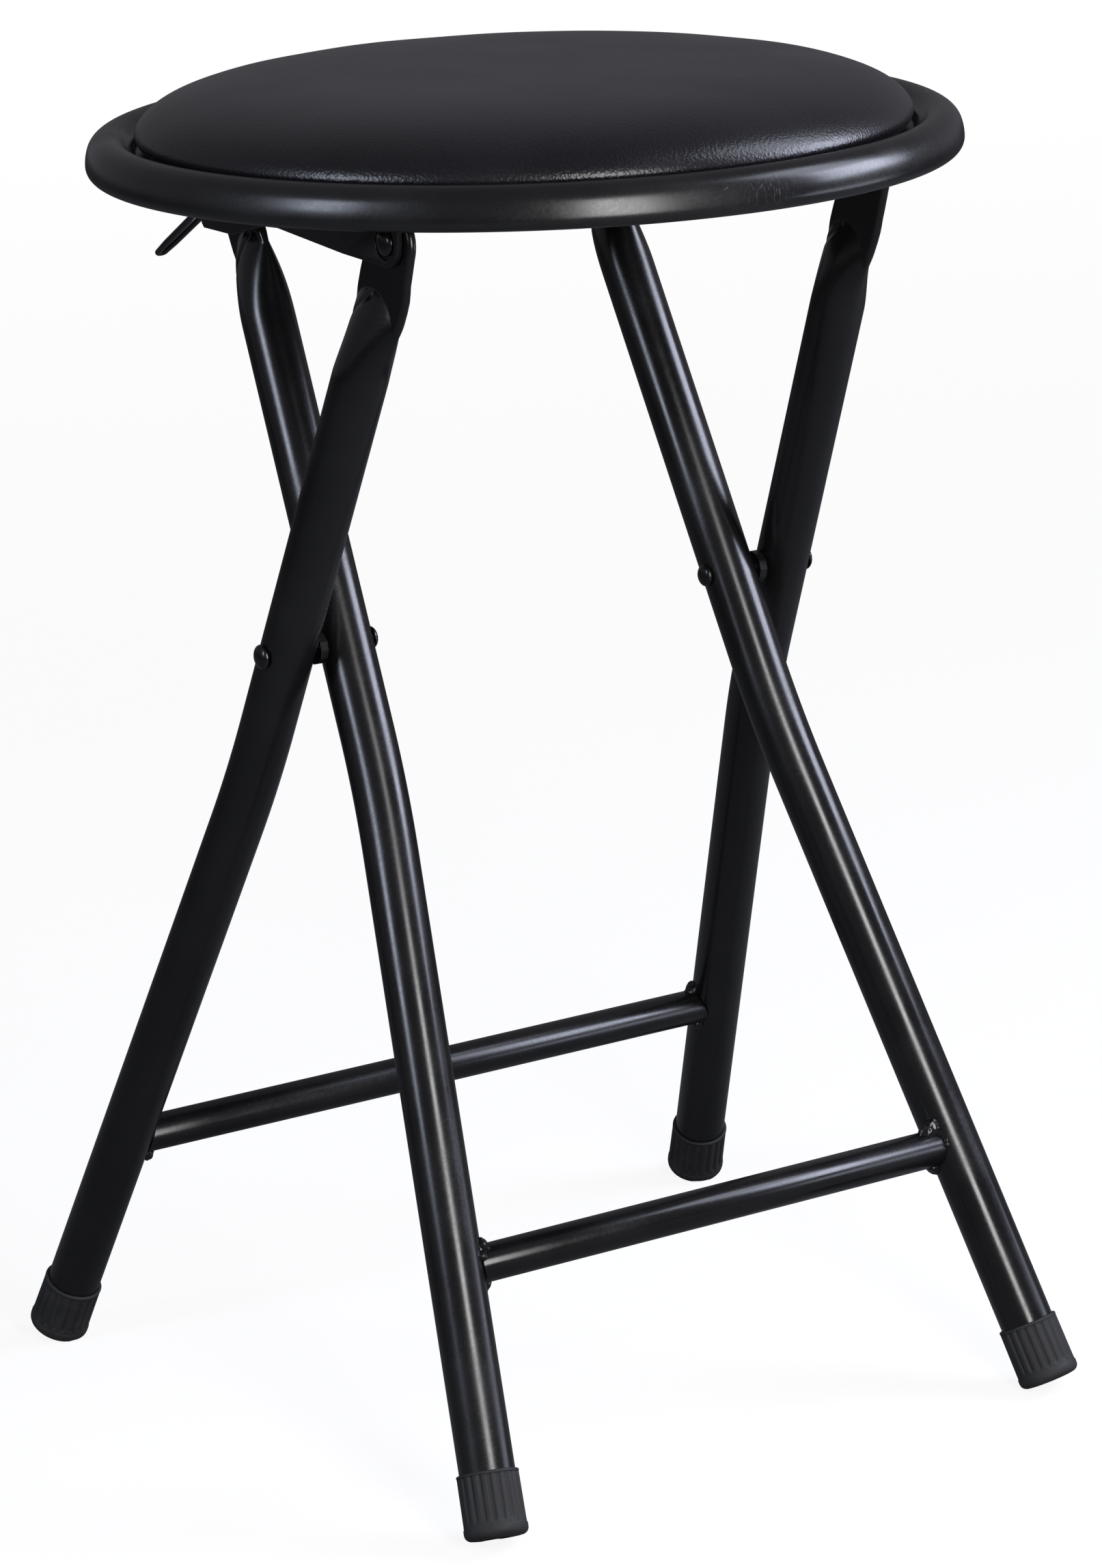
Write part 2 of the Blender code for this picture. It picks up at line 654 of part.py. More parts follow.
def make_board():
    """Plywood disc inside the cover, with blind screw holes in its underside."""
    low = board_bottom()
    high = low + BOARD_THICKNESS
    radius = CUSHION_RADIUS - CUSHION_FOOT_INSET - COVER_THICKNESS - TOUCH_GAP * 2
    board = add_object("seat_board", lathe([(0.0, low), (radius, low), (radius, high), (0.0, high)],
                                           SEAT_SEGMENTS), plywood())
    for x, y in screw_places():
        cut_upright_hole(board, x, y, SCREW_RADIUS + TOUCH_GAP, low - SCREW_BITE,
                         low + SCREW_BITE + TOUCH_GAP)
    return board


def make_foam():
    """Foam pad between the board and the cover."""
    base = board_bottom() + BOARD_THICKNESS + TOUCH_GAP
    room = COVER_THICKNESS + TOUCH_GAP * 2
    crown = [point for point in crown_path(CUSHION_RADIUS - room, CUSHION_CROWN - room)
             if point[1] > base + TOUCH_GAP]
    outline = [(0.0, base), (crown[0][0], base)] + crown
    return add_object("seat_foam", lathe(outline, SEAT_SEGMENTS), foam())


def make_seat_screw(x, y, name):
    """Pan-head screw from under the pan into the board."""
    seat = RECESS_FLOOR_HEIGHT - PAN_THICKNESS - TOUCH_GAP
    tip = board_bottom() + SCREW_BITE
    head = SCREW_HEAD_RADIUS
    outline = [(0.0, tip), (SCREW_RADIUS * 0.5, tip), (SCREW_RADIUS, tip - SCREW_POINT), (SCREW_RADIUS, seat)]
    outline += [(head, seat), (head, seat - SCREW_HEAD_HEIGHT * 0.5), (head * 0.6, seat - SCREW_HEAD_HEIGHT)]
    outline += [(0.0, seat - SCREW_HEAD_HEIGHT)]
    shape = lathe(outline, ROUND_SIDES)
    bmesh.ops.translate(shape, verts=shape.verts, vec=(x, y, 0.0))
    return add_object(name, shape, bright_steel())


def rivet_shape(x_low, x_high, shank, low_head, high_head, axis):
    """Rivet along X: domed heads outside x_low and x_high on one shank."""
    length = x_high - x_low
    dome = RIVET_HEAD_HEIGHT
    outline = [(0.0, -dome), (low_head * 0.55, -dome * 0.92), (low_head * 0.88, -dome * 0.55)]
    outline += [(low_head, 0.0)]
    outline += [(shank, 0.0), (shank, length), (high_head, length), (high_head * 0.88, length + dome * 0.55)]
    outline += [(high_head * 0.55, length + dome * 0.92), (0.0, length + dome)]
    return place_along_x(lathe(outline, ROUND_SIDES), (x_low, *axis))


def make_cross_rivet(side, name):
    """Rivet through an outer leg, the spacer and an inner leg."""
    far = OUTER_HALF_SPACING + LEG_RADIUS / math.cos(OUTER_UPPER_SPLAY) + TOUCH_GAP
    near = INNER_HALF_SPACING - LEG_RADIUS / math.cos(INNER_UPPER_SPLAY) - TOUCH_GAP
    if side > 0:
        shape = rivet_shape(near, far, CROSS_RIVET_RADIUS, CROSS_HEAD_RADIUS, CROSS_TAIL_RADIUS, CROSS_AXIS)
    else:
        shape = rivet_shape(-far, -near, CROSS_RIVET_RADIUS, CROSS_TAIL_RADIUS, CROSS_HEAD_RADIUS, CROSS_AXIS)
    return add_object(name, shape, gloss_black_steel(), (0.0, *CROSS_AXIS))


def ring_shape(x_low, x_high, bore, radius, axis):
    """Washer or spacer along X."""
    length = x_high - x_low
    outline = [(bore, 0.0), (radius, 0.0), (radius, length), (bore, length)]
    return place_along_x(lathe(outline, ROUND_SIDES), (x_low, *axis))


def make_cross_spacer(side, name):
    """Spacer between the outer and the inner leg at their crossing."""
    near = INNER_HALF_SPACING + spacer_standoff(INNER_UPPER_SPLAY)
    far = OUTER_HALF_SPACING - spacer_standoff(OUTER_UPPER_SPLAY)
    low, high = sorted((side * near, side * far))
    shape = ring_shape(low, high, CROSS_RIVET_RADIUS + TOUCH_GAP, SPACER_RADIUS, CROSS_AXIS)
    return add_object(name, shape, satin_black_steel(), (0.0, *CROSS_AXIS))


def spacer_standoff(splay):
    """Distance from a leg's centre to a spacer that just clears its leaning side."""
    return LEG_RADIUS / math.cos(splay) + SPACER_RADIUS * math.tan(splay) + TOUCH_GAP


def ear_inner_x():
    return OUTER.tab_x + TAB_HALF_THICKNESS + TOUCH_GAP


def make_top_rivet(side, name):
    """Hinge rivet of the seat: through the bracket's ear and the outer leg's tab."""
    outside = ear_inner_x() + BRACKET_THICKNESS - EAR_RECESS_DEPTH + TOUCH_GAP
    inside = OUTER.tab_x - TAB_HALF_THICKNESS - TOUCH_GAP * 2 - WASHER_THICKNESS
    low, high = sorted((side * outside, side * inside))
    shape = rivet_shape(low, high, TOP_RIVET_RADIUS, TOP_HEAD_RADIUS, TOP_HEAD_RADIUS, FRONT_AXIS)
    return add_object(name, shape, gloss_black_steel(), (0.0, *FRONT_AXIS))


def make_top_washer(side, name):
    near = OUTER.tab_x - TAB_HALF_THICKNESS - TOUCH_GAP
    low, high = sorted((side * near, side * (near - WASHER_THICKNESS)))
    shape = ring_shape(low, high, TOP_RIVET_RADIUS + TOUCH_GAP, WASHER_RADIUS, FRONT_AXIS)
    return add_object(name, shape, gloss_black_steel(), (0.0, *FRONT_AXIS))


def rear_wall_inner_x():
    return INNER.tab_x + TAB_HALF_THICKNESS + BRACKET_REAR_CLEARANCE


def hook_outer_x():
    return INNER.tab_x - TAB_HALF_THICKNESS - HOOK_CLEARANCE


def wall_ribbon(stations, top, side):
    """Upright sheet wall through stations (x of its inner face, y, lower edge height)."""
    rings = []
    for x, y, bottom in stations:
        section = [(x, y, bottom), (x + BRACKET_THICKNESS, y, bottom)]
        section += [(x + BRACKET_THICKNESS, y, top), (x, y, top)]
        rings.append(mirrored(section, side))
    return skin(rings)


def outer_wall_stations():
    """Front ear round the hinge, straight edge, inward jog and deeper rear end."""
    front_x = ear_inner_x()
    rear_x = rear_wall_inner_x()
    y_axis, z_axis = FRONT_AXIS
    stations = [(front_x, y_axis - EAR_RADIUS, z_axis)]
    for degrees in (25, 50, 70, 90, 105):
        angle = math.radians(degrees)
        y = y_axis - EAR_RADIUS * math.cos(angle)
        stations.append((front_x, y, z_axis - EAR_RADIUS * math.sin(angle)))
    stations += [(front_x, BRACKET_JOG_FRONT, BRACKET_EDGE_HEIGHT)]
    bend_x = front_x + (rear_x - front_x) * BRACKET_BEND_SHARE
    bend_y = BRACKET_JOG_FRONT + (BRACKET_JOG_REAR - BRACKET_JOG_FRONT) * BRACKET_BEND_SHARE
    stations += [(bend_x, bend_y, BRACKET_EDGE_HEIGHT - BRACKET_EDGE_DROP)]
    stations += [(rear_x, BRACKET_JOG_REAR, BRACKET_JOG_BOTTOM)]
    stations += [(rear_x, BRACKET_REAR_SLOPE_END, BRACKET_REAR_BOTTOM)]
    stations += [(rear_x, BRACKET_REAR_END - BRACKET_CORNER, BRACKET_REAR_BOTTOM)]
    stations += [(rear_x, BRACKET_REAR_END, BRACKET_REAR_BOTTOM + BRACKET_CORNER)]
    return stations


def hook_wall_stations():
    """Inner wall with a hook over the rod: closed above and behind, open in front."""
    x = hook_outer_x() - BRACKET_THICKNESS
    y_rod, z_rod = ROD_AXIS
    room = ROD_RADIUS + TOUCH_GAP
    mouth_angle = math.asin(HOOK_MOUTH_RISE / room)
    mouth = (y_rod - room * math.cos(mouth_angle), z_rod + HOOK_MOUTH_RISE)
    stations = [(x, HOOK_FRONT, mouth[1] + HOOK_FRONT_RISE), (x, mouth[0] - HOOK_MOUTH_WIDTH, mouth[1])]
    for y, z in arc(ROD_AXIS, room, math.pi - mouth_angle, math.radians(5.0), HOOK_STEPS):
        stations.append((x, y, z))
    lip_front = y_rod + room
    lip_rear = lip_front + HOOK_LIP_WIDTH
    stations += [(x, lip_front, HOOK_LIP_BOTTOM + HOOK_CORNER), (x, lip_front + HOOK_CORNER, HOOK_LIP_BOTTOM)]
    stations += [(x, lip_rear - HOOK_CORNER, HOOK_LIP_BOTTOM), (x, lip_rear + HOOK_CORNER, HOOK_REAR_BOTTOM)]
    stations += [(x, HOOK_REAR_END, HOOK_REAR_BOTTOM)]
    return stations


def web_levels():
    """Lower and upper face of the bracket's flat web under the pan."""
    top = RECESS_FLOOR_HEIGHT - PAN_THICKNESS - TOUCH_GAP
    return top - BRACKET_THICKNESS, top


def make_bracket(side, name):
    """Pressed channel: flat web, outer wall with the hinge ear, inner wall with the hook."""
    low, high = web_levels()
    inner_x = hook_outer_x() - BRACKET_THICKNESS
    front_x = ear_inner_x() + BRACKET_THICKNESS
    rear_x = rear_wall_inner_x() + BRACKET_THICKNESS
    front_y = FRONT_AXIS[0] - EAR_RADIUS
    plan = [(front_x, front_y), (front_x, BRACKET_JOG_FRONT), (rear_x, BRACKET_JOG_REAR)]
    plan += [(rear_x, BRACKET_REAR_END), (inner_x, HOOK_REAR_END), (inner_x, front_y + WEB_FRONT_LENGTH)]
    plan += [(inner_x + WEB_FRONT_WIDTH, front_y)]
    rings = [mirrored([(x, y, z) for x, y in plan], side) for z in (low, high)]
    bracket = add_object(name, skin(rings), satin_black_steel(), (0.0, *FRONT_AXIS))
    middle = (low + high) / 2
    for stations in (outer_wall_stations(), hook_wall_stations()):
        wall = cutter(wall_ribbon(stations, middle, side))
        boolean(bracket, wall, "UNION")
    x_low, x_high = sorted((side * OUTER.top_x, side * SEAT_RADIUS))
    cut_hole_along_x(bracket, FRONT_AXIS, TOP_RIVET_RADIUS + TOUCH_GAP, x_low, x_high)
    recess = side * (ear_inner_x() + BRACKET_THICKNESS - EAR_RECESS_DEPTH)
    x_low, x_high = sorted((recess, side * SEAT_RADIUS))
    cut_hole_along_x(bracket, FRONT_AXIS, EAR_RECESS_RADIUS, x_low, x_high)
    x_low, x_high = sorted((side * (inner_x - BRACKET_THICKNESS), side * (inner_x + BRACKET_THICKNESS * 2)))
    cut_hole_along_x(bracket, LATCH_AXIS, WIRE_RADIUS + TOUCH_GAP, x_low, x_high)
    return bracket


def make_top_rod():
    """Rod that joins the inner leg tops and rests in the bracket hooks."""
    reach = rear_wall_inner_x() - TOUCH_GAP * 3
    outline = [(0.0, -reach), (ROD_RADIUS - ROD_CHAMFER, -reach), (ROD_RADIUS, -reach + ROD_CHAMFER)]
    outline += [(ROD_RADIUS, reach - ROD_CHAMFER), (ROD_RADIUS - ROD_CHAMFER, reach), (0.0, reach)]
    shape = place_along_x(lathe(outline, ROUND_SIDES), (0.0, *ROD_AXIS))
    return add_object("inner_top_rod", shape, gloss_black_steel(), (0.0, *CROSS_AXIS))


def rounded_path(points, radius, steps=3):
    """Replace the corners of a 3D polyline with arcs."""
    path = [points[0]]
    for before, corner, after in zip(points, points[1:], points[2:]):
        back = (before - corner)
        ahead = (after - corner)
        angle = back.angle(ahead)
        if angle > math.radians(170.0):
            path.append(corner)
            continue
        cut = min(radius / math.tan(angle / 2), back.length * 0.49, ahead.length * 0.49)
        start = corner + back.normalized() * cut
        end = corner + ahead.normalized() * cut
        for index in range(steps + 1):
            share = index / steps
            bent = start.lerp(corner, share).lerp(corner.lerp(end, share), share)
            path.append(bent)
    path.append(points[-1])
    return path


def wire(path, radius, sides):
    """Round wire along a path, with a frame carried along without twist."""
    rings = []
    tangent = (path[1] - path[0]).normalized()
    across = tangent.orthogonal().normalized()
    for index, point in enumerate(path):
        before = path[max(index - 1, 0)]
        after = path[min(index + 1, len(path) - 1)]
        tangent = (after - before).normalized()
        across = (across - tangent * across.dot(tangent)).normalized()
        up = tangent.cross(across)
        ring = []
        for step in range(sides):
            angle = math.tau * step / sides
            ring.append(point + (across * math.cos(angle) + up * math.sin(angle)) * radius)
        rings.append(ring)
    return skin(rings)


def make_latch():
    """One bent wire: hook arm under the rod, pivot through the hook wall, finger loop behind."""
    wall_outer = hook_outer_x()
    arm_x = -(wall_outer + TOUCH_GAP + WIRE_RADIUS)
    lever_x = -(wall_outer - BRACKET_THICKNESS - TOUCH_GAP - WIRE_RADIUS)
    y_axis, z_axis = LATCH_AXIS
    clear = ROD_RADIUS + WIRE_RADIUS + TOUCH_GAP * 2
    flank = Vector((0.0, ROD_AXIS[0] - LATCH_EXIT[1] * clear, ROD_AXIS[1] + LATCH_EXIT[0] * clear))
    out = Vector((0.0, *LATCH_EXIT))
    tip = Vector((0.0, *LATCH_LOOP_TIP))
    pivot = Vector((0.0, *LATCH_AXIS))
    away = (tip - pivot).normalized()
    loop_start = pivot + away * LATCH_LOOP_START
    waist = pivot.lerp(tip, LATCH_WAIST_SHARE)
    shift = Vector((1.0, 0.0, 0.0))
    near = shift * lever_x
    far = shift * arm_x
    taper = shift * LATCH_LOOP_TAPER
    points = [
        flank + out * LATCH_CATCH_END + Vector((arm_x, 0.0, 0.0)),
        flank - out * LATCH_CATCH_START + Vector((arm_x, 0.0, 0.0)),
        Vector((arm_x, y_axis, z_axis)),
        Vector((lever_x, y_axis, z_axis)),
        loop_start + near,
        waist + near - taper,
        tip + (near + far) / 2 + shift * WIRE_RADIUS * 1.1,
        tip + (near + far) / 2 - shift * WIRE_RADIUS * 1.1,
        waist + far + taper,
        loop_start + far,
    ]
    path = rounded_path(points, WIRE_BEND_RADIUS)
    return add_object("latch_wire", wire(path, WIRE_RADIUS, WIRE_SIDES), gloss_black_steel(),
                      (0.0, *LATCH_AXIS))


def build():
    clear_scene()
    make_pan()
    make_board()
    make_foam()
    make_cover()
    for index, (x, y) in enumerate(screw_places()):
        make_seat_screw(x, y, f"seat_screw_{index + 1}")
    for side, word in ((-1, "left"), (1, "right")):
        make_leg(OUTER, side, f"outer_leg_{word}")
        make_leg(INNER, side, f"inner_leg_{word}")
        make_foot(OUTER, side, f"outer_foot_{word}")
        make_foot(INNER, side, f"inner_foot_{word}")
        make_cross_rivet(side, f"cross_rivet_{word}")
        make_cross_spacer(side, f"cross_spacer_{word}")
        make_top_rivet(side, f"top_rivet_{word}")
        make_top_washer(side, f"top_washer_{word}")
        make_bracket(side, f"seat_bracket_{word}")
    make_crossbar(OUTER, "outer_crossbar")
    make_crossbar(INNER, "inner_crossbar")
    make_top_rod()
    make_latch()


build()
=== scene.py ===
import json
import math

import bmesh
import bpy
import numpy as np
from mathutils import Matrix, Vector, noise
from mathutils.kdtree import KDTree

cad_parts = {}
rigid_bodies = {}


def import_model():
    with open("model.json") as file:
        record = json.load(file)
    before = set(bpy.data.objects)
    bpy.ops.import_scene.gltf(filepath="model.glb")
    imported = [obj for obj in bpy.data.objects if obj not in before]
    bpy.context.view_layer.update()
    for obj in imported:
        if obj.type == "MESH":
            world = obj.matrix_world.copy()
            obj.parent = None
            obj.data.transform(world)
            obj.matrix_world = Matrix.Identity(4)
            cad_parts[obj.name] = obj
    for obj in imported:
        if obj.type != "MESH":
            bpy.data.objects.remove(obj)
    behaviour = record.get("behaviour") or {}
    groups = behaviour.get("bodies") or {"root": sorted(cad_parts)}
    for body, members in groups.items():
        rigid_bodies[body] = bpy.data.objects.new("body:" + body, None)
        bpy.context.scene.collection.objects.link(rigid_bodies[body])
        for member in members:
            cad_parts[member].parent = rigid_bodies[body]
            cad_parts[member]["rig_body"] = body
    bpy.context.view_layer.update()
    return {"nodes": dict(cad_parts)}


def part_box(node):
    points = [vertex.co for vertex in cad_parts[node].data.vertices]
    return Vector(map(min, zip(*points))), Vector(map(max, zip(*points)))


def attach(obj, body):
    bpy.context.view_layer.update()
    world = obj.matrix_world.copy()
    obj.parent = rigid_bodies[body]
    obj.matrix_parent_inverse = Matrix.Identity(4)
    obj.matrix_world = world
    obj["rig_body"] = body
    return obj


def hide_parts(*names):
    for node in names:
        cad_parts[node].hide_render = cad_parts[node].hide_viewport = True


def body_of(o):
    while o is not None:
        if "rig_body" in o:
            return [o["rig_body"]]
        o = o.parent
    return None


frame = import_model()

MM = 0.001

# Seat pan and cushion, as in the CAD.
SEAT_RADIUS = 150.0 * MM
RIM_BEAD_RADIUS = 7.25 * MM
RIM_SHOULDER_DEGREES = 20.0
RIM_EDGE_RADIUS = 4.3 * MM
RIM_HEM = (138.4 * MM, 437.5 * MM)
RIM_HEIGHT = 443.0 * MM
PAN_THICKNESS = 1.0 * MM
PAN_LIP_WIDTH = 2.0 * MM
PAN_LIP_DROP = 3.5 * MM
PAN_FILLET = 1.2 * MM
RECESS_RADIUS = 133.4 * MM
RECESS_FLOOR = 443.0 * MM
PAN_SEGMENTS = 240
CUSHION_RADIUS = 133.0 * MM
CUSHION_WIDEST = 449.0 * MM
CUSHION_CROWN = 18.7 * MM
CUSHION_FOOT_INSET = 3.3 * MM
CUSHION_FLATNESS = 5.2
CUSHION_SHOULDER = 1.85
CUSHION_FOOT_ROUNDING = 1.2 * MM
CUSHION_FOOT_RISE = 3.4 * MM
CUSHION_RINGS = 24
CUSHION_SEGMENTS = 200

# Trial copy of the cushion for the cloth solver, and how its unevenness is laid over the crown.
PROBE_SHRINK = 1.5 * MM
PROBE_SEGMENTS = 120
PROBE_VOXEL = 4.5 * MM
PROBE_PRESSURE = 4.0
PROBE_MOST = 5.0 * MM
PROBE_HELD = 3.5 * MM
PROBE_FRAMES = 20
BAND_WIDTH = 6.0 * MM
BANDS = 24
SMOOTHING_RADIUS = 14.0 * MM
SMOOTHING_RANGE = 26.0 * MM
UNEVEN_SHARE = 0.22
UNEVEN_LOWEST = -0.3 * MM
UNEVEN_HIGHEST = 0.2 * MM
UNEVEN_FADE = 6.0 * MM

# Hinge axes along X, as (y, z).
CROSS_AXIS = (0.0, 278.0 * MM)
FRONT_AXIS = (-69.2 * MM, 427.5 * MM)
ROD_AXIS = (71.5 * MM, 421.0 * MM)

# Leg tubes, their tops pressed flat into tabs.
LEG_RADIUS = 9.5 * MM
LEG_SIDES = 120
TAB_HALF_WIDTH = 11.7 * MM
TAB_HALF_THICKNESS = 1.7 * MM
TAB_OFFSET = 0.8 * MM
TAB_EDGE_ROUNDING = 1.6 * MM
TAB_SWELL_LENGTH = 33.0 * MM
TAB_DENT_RADIUS = 1.25 * MM
TAB_STEP_HEIGHT = 0.7 * MM
TAB_STEP_SHARE = 0.08
TAB_FLAT_RINGS = (0.0, 0.12, 0.22, 0.31, 0.34, 0.37, 0.4, 0.43, 0.48, 0.6, 0.75, 0.93, 0.98)

# Outer tabs: half widths to the front and the rear by side. The seat bracket leaves less room at the
# front, down to the corner, when the seat is tilted up.
WIDE_TABS = {-1: (14.2 * MM, 14.3 * MM), 1: (13.6 * MM, 12.2 * MM)}
TAB_UNDER_SEAT = 11.9 * MM
TAB_FRONT_SLANT = 0.11
TAB_CORNER = 8.6 * MM
TAB_WIDENING_LENGTH = 7.0 * MM
TAB_NARROWING_START = 19.0 * MM
TAB_NARROWING_LENGTH = 32.0 * MM

# Bend of the legs.
KNEE_HEIGHT = 230.0 * MM
KNEE_RADIUS = 500.0 * MM
KNEE_STEPS = 12

# Rubber feet.
FOOT_LENGTH = 22.0 * MM
FOOT_RADIUS = 10.9 * MM
FOOT_FLOOR = 3.0 * MM
FOOT_ROUNDING = 2.4 * MM
FOOT_SWELL = 0.3 * MM
FOOT_FLAT_DEPTH = 0.6 * MM
FOOT_STEP = 0.26 * MM
TOUCH_GAP = 0.3 * MM
GROOVES = 20
GROOVE_POINTS = 10
GROOVE_RINGS = 40
GROOVE_LOW = 5.4 * MM
GROOVE_HIGH = 20.9 * MM
GROOVE_HALF_WIDTH = 0.72 * MM
GROOVE_DEPTH = 0.6 * MM

# Crossbars and their welds.
BAR_RADIUS = 6.6 * MM
BAR_HEIGHT = 83.5 * MM
BAR_END_GAP = 0.35 * MM
BAR_SIDES = 96
WELD_POWER = 1.25

# Rivets, rod and latch wire.
RIVET_HEAD_HEIGHT = 2.0 * MM
ROD_RADIUS = 4.0 * MM
WIRE_RADIUS = 1.15 * MM
WIRE_BEND_RADIUS = 1.4 * MM
LATCH_AXIS = (90.0 * MM, 424.0 * MM)
LATCH_EXIT = (-0.5, -0.866)
LATCH_TIP = (145.0 * MM, 392.0 * MM)


def graph(name, colour, roughness):
    """Make a Principled material and return it with its node tree and shader."""
    made = bpy.data.materials.new(name)
    made.use_nodes = True
    tree = made.node_tree
    shader = tree.nodes["Principled BSDF"]
    shader.inputs["Base Color"].default_value = (*colour, 1.0)
    shader.inputs["Roughness"].default_value = roughness
    return made, tree, shader


def add_node(tree, kind, properties=None, **inputs):
    """Add a node, set its properties and plain inputs, and link sockets given as inputs."""
    made = tree.nodes.new(kind)
    for key, value in (properties or {}).items():
        setattr(made, key, value)
    for key, value in inputs.items():
        socket = made.inputs[key.replace("_", " ")]
        if isinstance(value, bpy.types.NodeSocket):
            tree.links.new(value, socket)
        else:
            socket.default_value = value
    return made


def object_place(tree):
    return add_node(tree, "ShaderNodeTexCoord").outputs["Object"]


def noise_value(tree, scale, detail=2.0, roughness=0.5, place=None):
    made = add_node(tree, "ShaderNodeTexNoise", Vector=place or object_place(tree), Scale=scale,
                    Detail=detail, Roughness=roughness)
    return made.outputs["Fac"]


def ramp(tree, value, stops):
    """Colour ramp from (position, grey or colour) stops."""
    made = add_node(tree, "ShaderNodeValToRGB", Fac=value)
    points = made.color_ramp.elements
    while len(points) < len(stops):
        points.new(0.5)
    for point, (position, tone) in zip(points, stops):
        point.position = position
        point.color = (*tone, 1.0) if isinstance(tone, tuple) else (tone, tone, tone, 1.0)
    return made.outputs["Color"]


def spread(tree, value, low, high, to_low, to_high):
    """Map a value from one range to another, clamped."""
    made = add_node(tree, "ShaderNodeMapRange", Value=value)
    for key, number in (("From Min", low), ("From Max", high), ("To Min", to_low), ("To Max", to_high)):
        made.inputs[key].default_value = number
    return made.outputs["Result"]


def mix_colour(tree, share, first, second):
    made = add_node(tree, "ShaderNodeMix", {"data_type": "RGBA"})
    for index, value in ((0, share), (6, first), (7, second)):
        if isinstance(value, bpy.types.NodeSocket):
            tree.links.new(value, made.inputs[index])
        else:
            made.inputs[index].default_value = value
    return made.outputs[2]


def calculate(tree, operation, first, second):
    made = add_node(tree, "ShaderNodeMath", {"operation": operation})
    for index, value in enumerate((first, second)):
        if isinstance(value, bpy.types.NodeSocket):
            tree.links.new(value, made.inputs[index])
        else:
            made.inputs[index].default_value = value
    return made.outputs["Value"]


def specks(tree, scale, size, share):
    """Small separate dots: 1 in a dot, 0 elsewhere; share of the cells carry one."""
    cells = add_node(tree, "ShaderNodeTexVoronoi", Vector=object_place(tree), Scale=scale)
    dot = spread(tree, cells.outputs["Distance"], size, size * 0.6, 0.0, 1.0)
    pick = add_node(tree, "ShaderNodeSeparateColor", Color=cells.outputs["Color"]).outputs["Red"]
    chosen = calculate(tree, "LESS_THAN", pick, share)
    return calculate(tree, "MULTIPLY", dot, chosen)


def dot_height(tree, centre, radius):
    """1 at a centre, falling to 0 at a radius from it."""
    away = add_node(tree, "ShaderNodeVectorMath", {"operation": "DISTANCE"})
    tree.links.new(object_place(tree), away.inputs[0])
    away.inputs[1].default_value = centre
    made = add_node(tree, "ShaderNodeMapRange", {"interpolation_type": "SMOOTHSTEP"},
                    Value=away.outputs["Value"])
    for key, number in (("From Min", 0.0), ("From Max", radius), ("To Min", 1.0), ("To Max", 0.0)):
        made.inputs[key].default_value = number
    return made.outputs["Result"]


def scratches(tree, centre, reach, strength):
    """Fine upright scratches that fade out from a centre; reach is a box half size."""
    place = object_place(tree)
    shift = add_node(tree, "ShaderNodeVectorMath", {"operation": "SUBTRACT"})
    tree.links.new(place, shift.inputs[0])
    shift.inputs[1].default_value = centre
    shrink = add_node(tree, "ShaderNodeVectorMath", {"operation": "DIVIDE"})
    tree.links.new(shift.outputs["Vector"], shrink.inputs[0])
    shrink.inputs[1].default_value = reach
    length = add_node(tree, "ShaderNodeVectorMath", {"operation": "LENGTH"})
    tree.links.new(shrink.outputs["Vector"], length.inputs[0])
    fade = spread(tree, length.outputs["Value"], 0.35, 1.0, strength, 0.0)
    stretch = add_node(tree, "ShaderNodeMapping", Vector=place)
    stretch.inputs["Scale"].default_value = (1.0, 1.0, 0.05)
    lines = noise_value(tree, 1900.0, 3.0, 0.6, stretch.outputs["Vector"])
    return calculate(tree, "MULTIPLY", spread(tree, lines, 0.56, 0.68, 0.0, 1.0), fade)


def bump(tree, shader, *layers):
    """Chain bump layers of (height socket, depth in metres)."""
    normal = None
    for height, depth in layers:
        made = add_node(tree, "ShaderNodeBump", Height=height, Distance=depth)
        made.inputs["Strength"].default_value = 1.0
        if normal:
            tree.links.new(normal, made.inputs["Normal"])
        normal = made.outputs["Normal"]
    tree.links.new(normal, shader.inputs["Normal"])


def painted_steel(name, colour, roughness, texture_depth, speck_share, scuffs=(), blister=None):
    """Black powder coat: fine orange peel, uneven gloss, a few pale specks and rubbed patches."""
    made, tree, shader = graph(name, colour, roughness)
    fine = noise_value(tree, 900.0, 3.0)
    peel = noise_value(tree, 260.0, 2.0)
    cloud = noise_value(tree, 28.0, 3.0)
    rough = spread(tree, cloud, 0.3, 0.7, roughness - 0.05, roughness + 0.07)
    grit = spread(tree, fine, 0.35, 0.65, -0.025, 0.025)
    tree.links.new(calculate(tree, "ADD", rough, grit), shader.inputs["Roughness"])
    tone = mix_colour(tree, spread(tree, cloud, 0.35, 0.7, 0.0, 1.0), (*colour, 1.0),
                      (*[c * 1.5 + 0.001 for c in colour], 1.0))
    dots = specks(tree, 160.0, 0.09, speck_share)
    tone = mix_colour(tree, dots, tone, (0.3, 0.3, 0.31, 1.0))
    for centre, reach, strength in scuffs:
        tone = mix_colour(tree, scratches(tree, centre, reach, strength), tone, (0.34, 0.34, 0.36, 1.0))
    tree.links.new(tone, shader.inputs["Base Color"])
    shader.inputs["IOR"].default_value = 1.5
    layers = [(peel, texture_depth * 2.0), (fine, texture_depth)]
    if blister:
        layers.append((dot_height(tree, *blister), blister[1] * 0.4))
    bump(tree, shader, *layers)
    return made


# Rubbed places on the seat's rim: centre, box half size and strength.
SCUFFS = (((-0.0020, -0.1495, 0.4435), (0.0125, 0.010, 0.0065), 0.17),)
BLISTER = ((-0.0176, -0.1488, 0.4455), 0.0011)


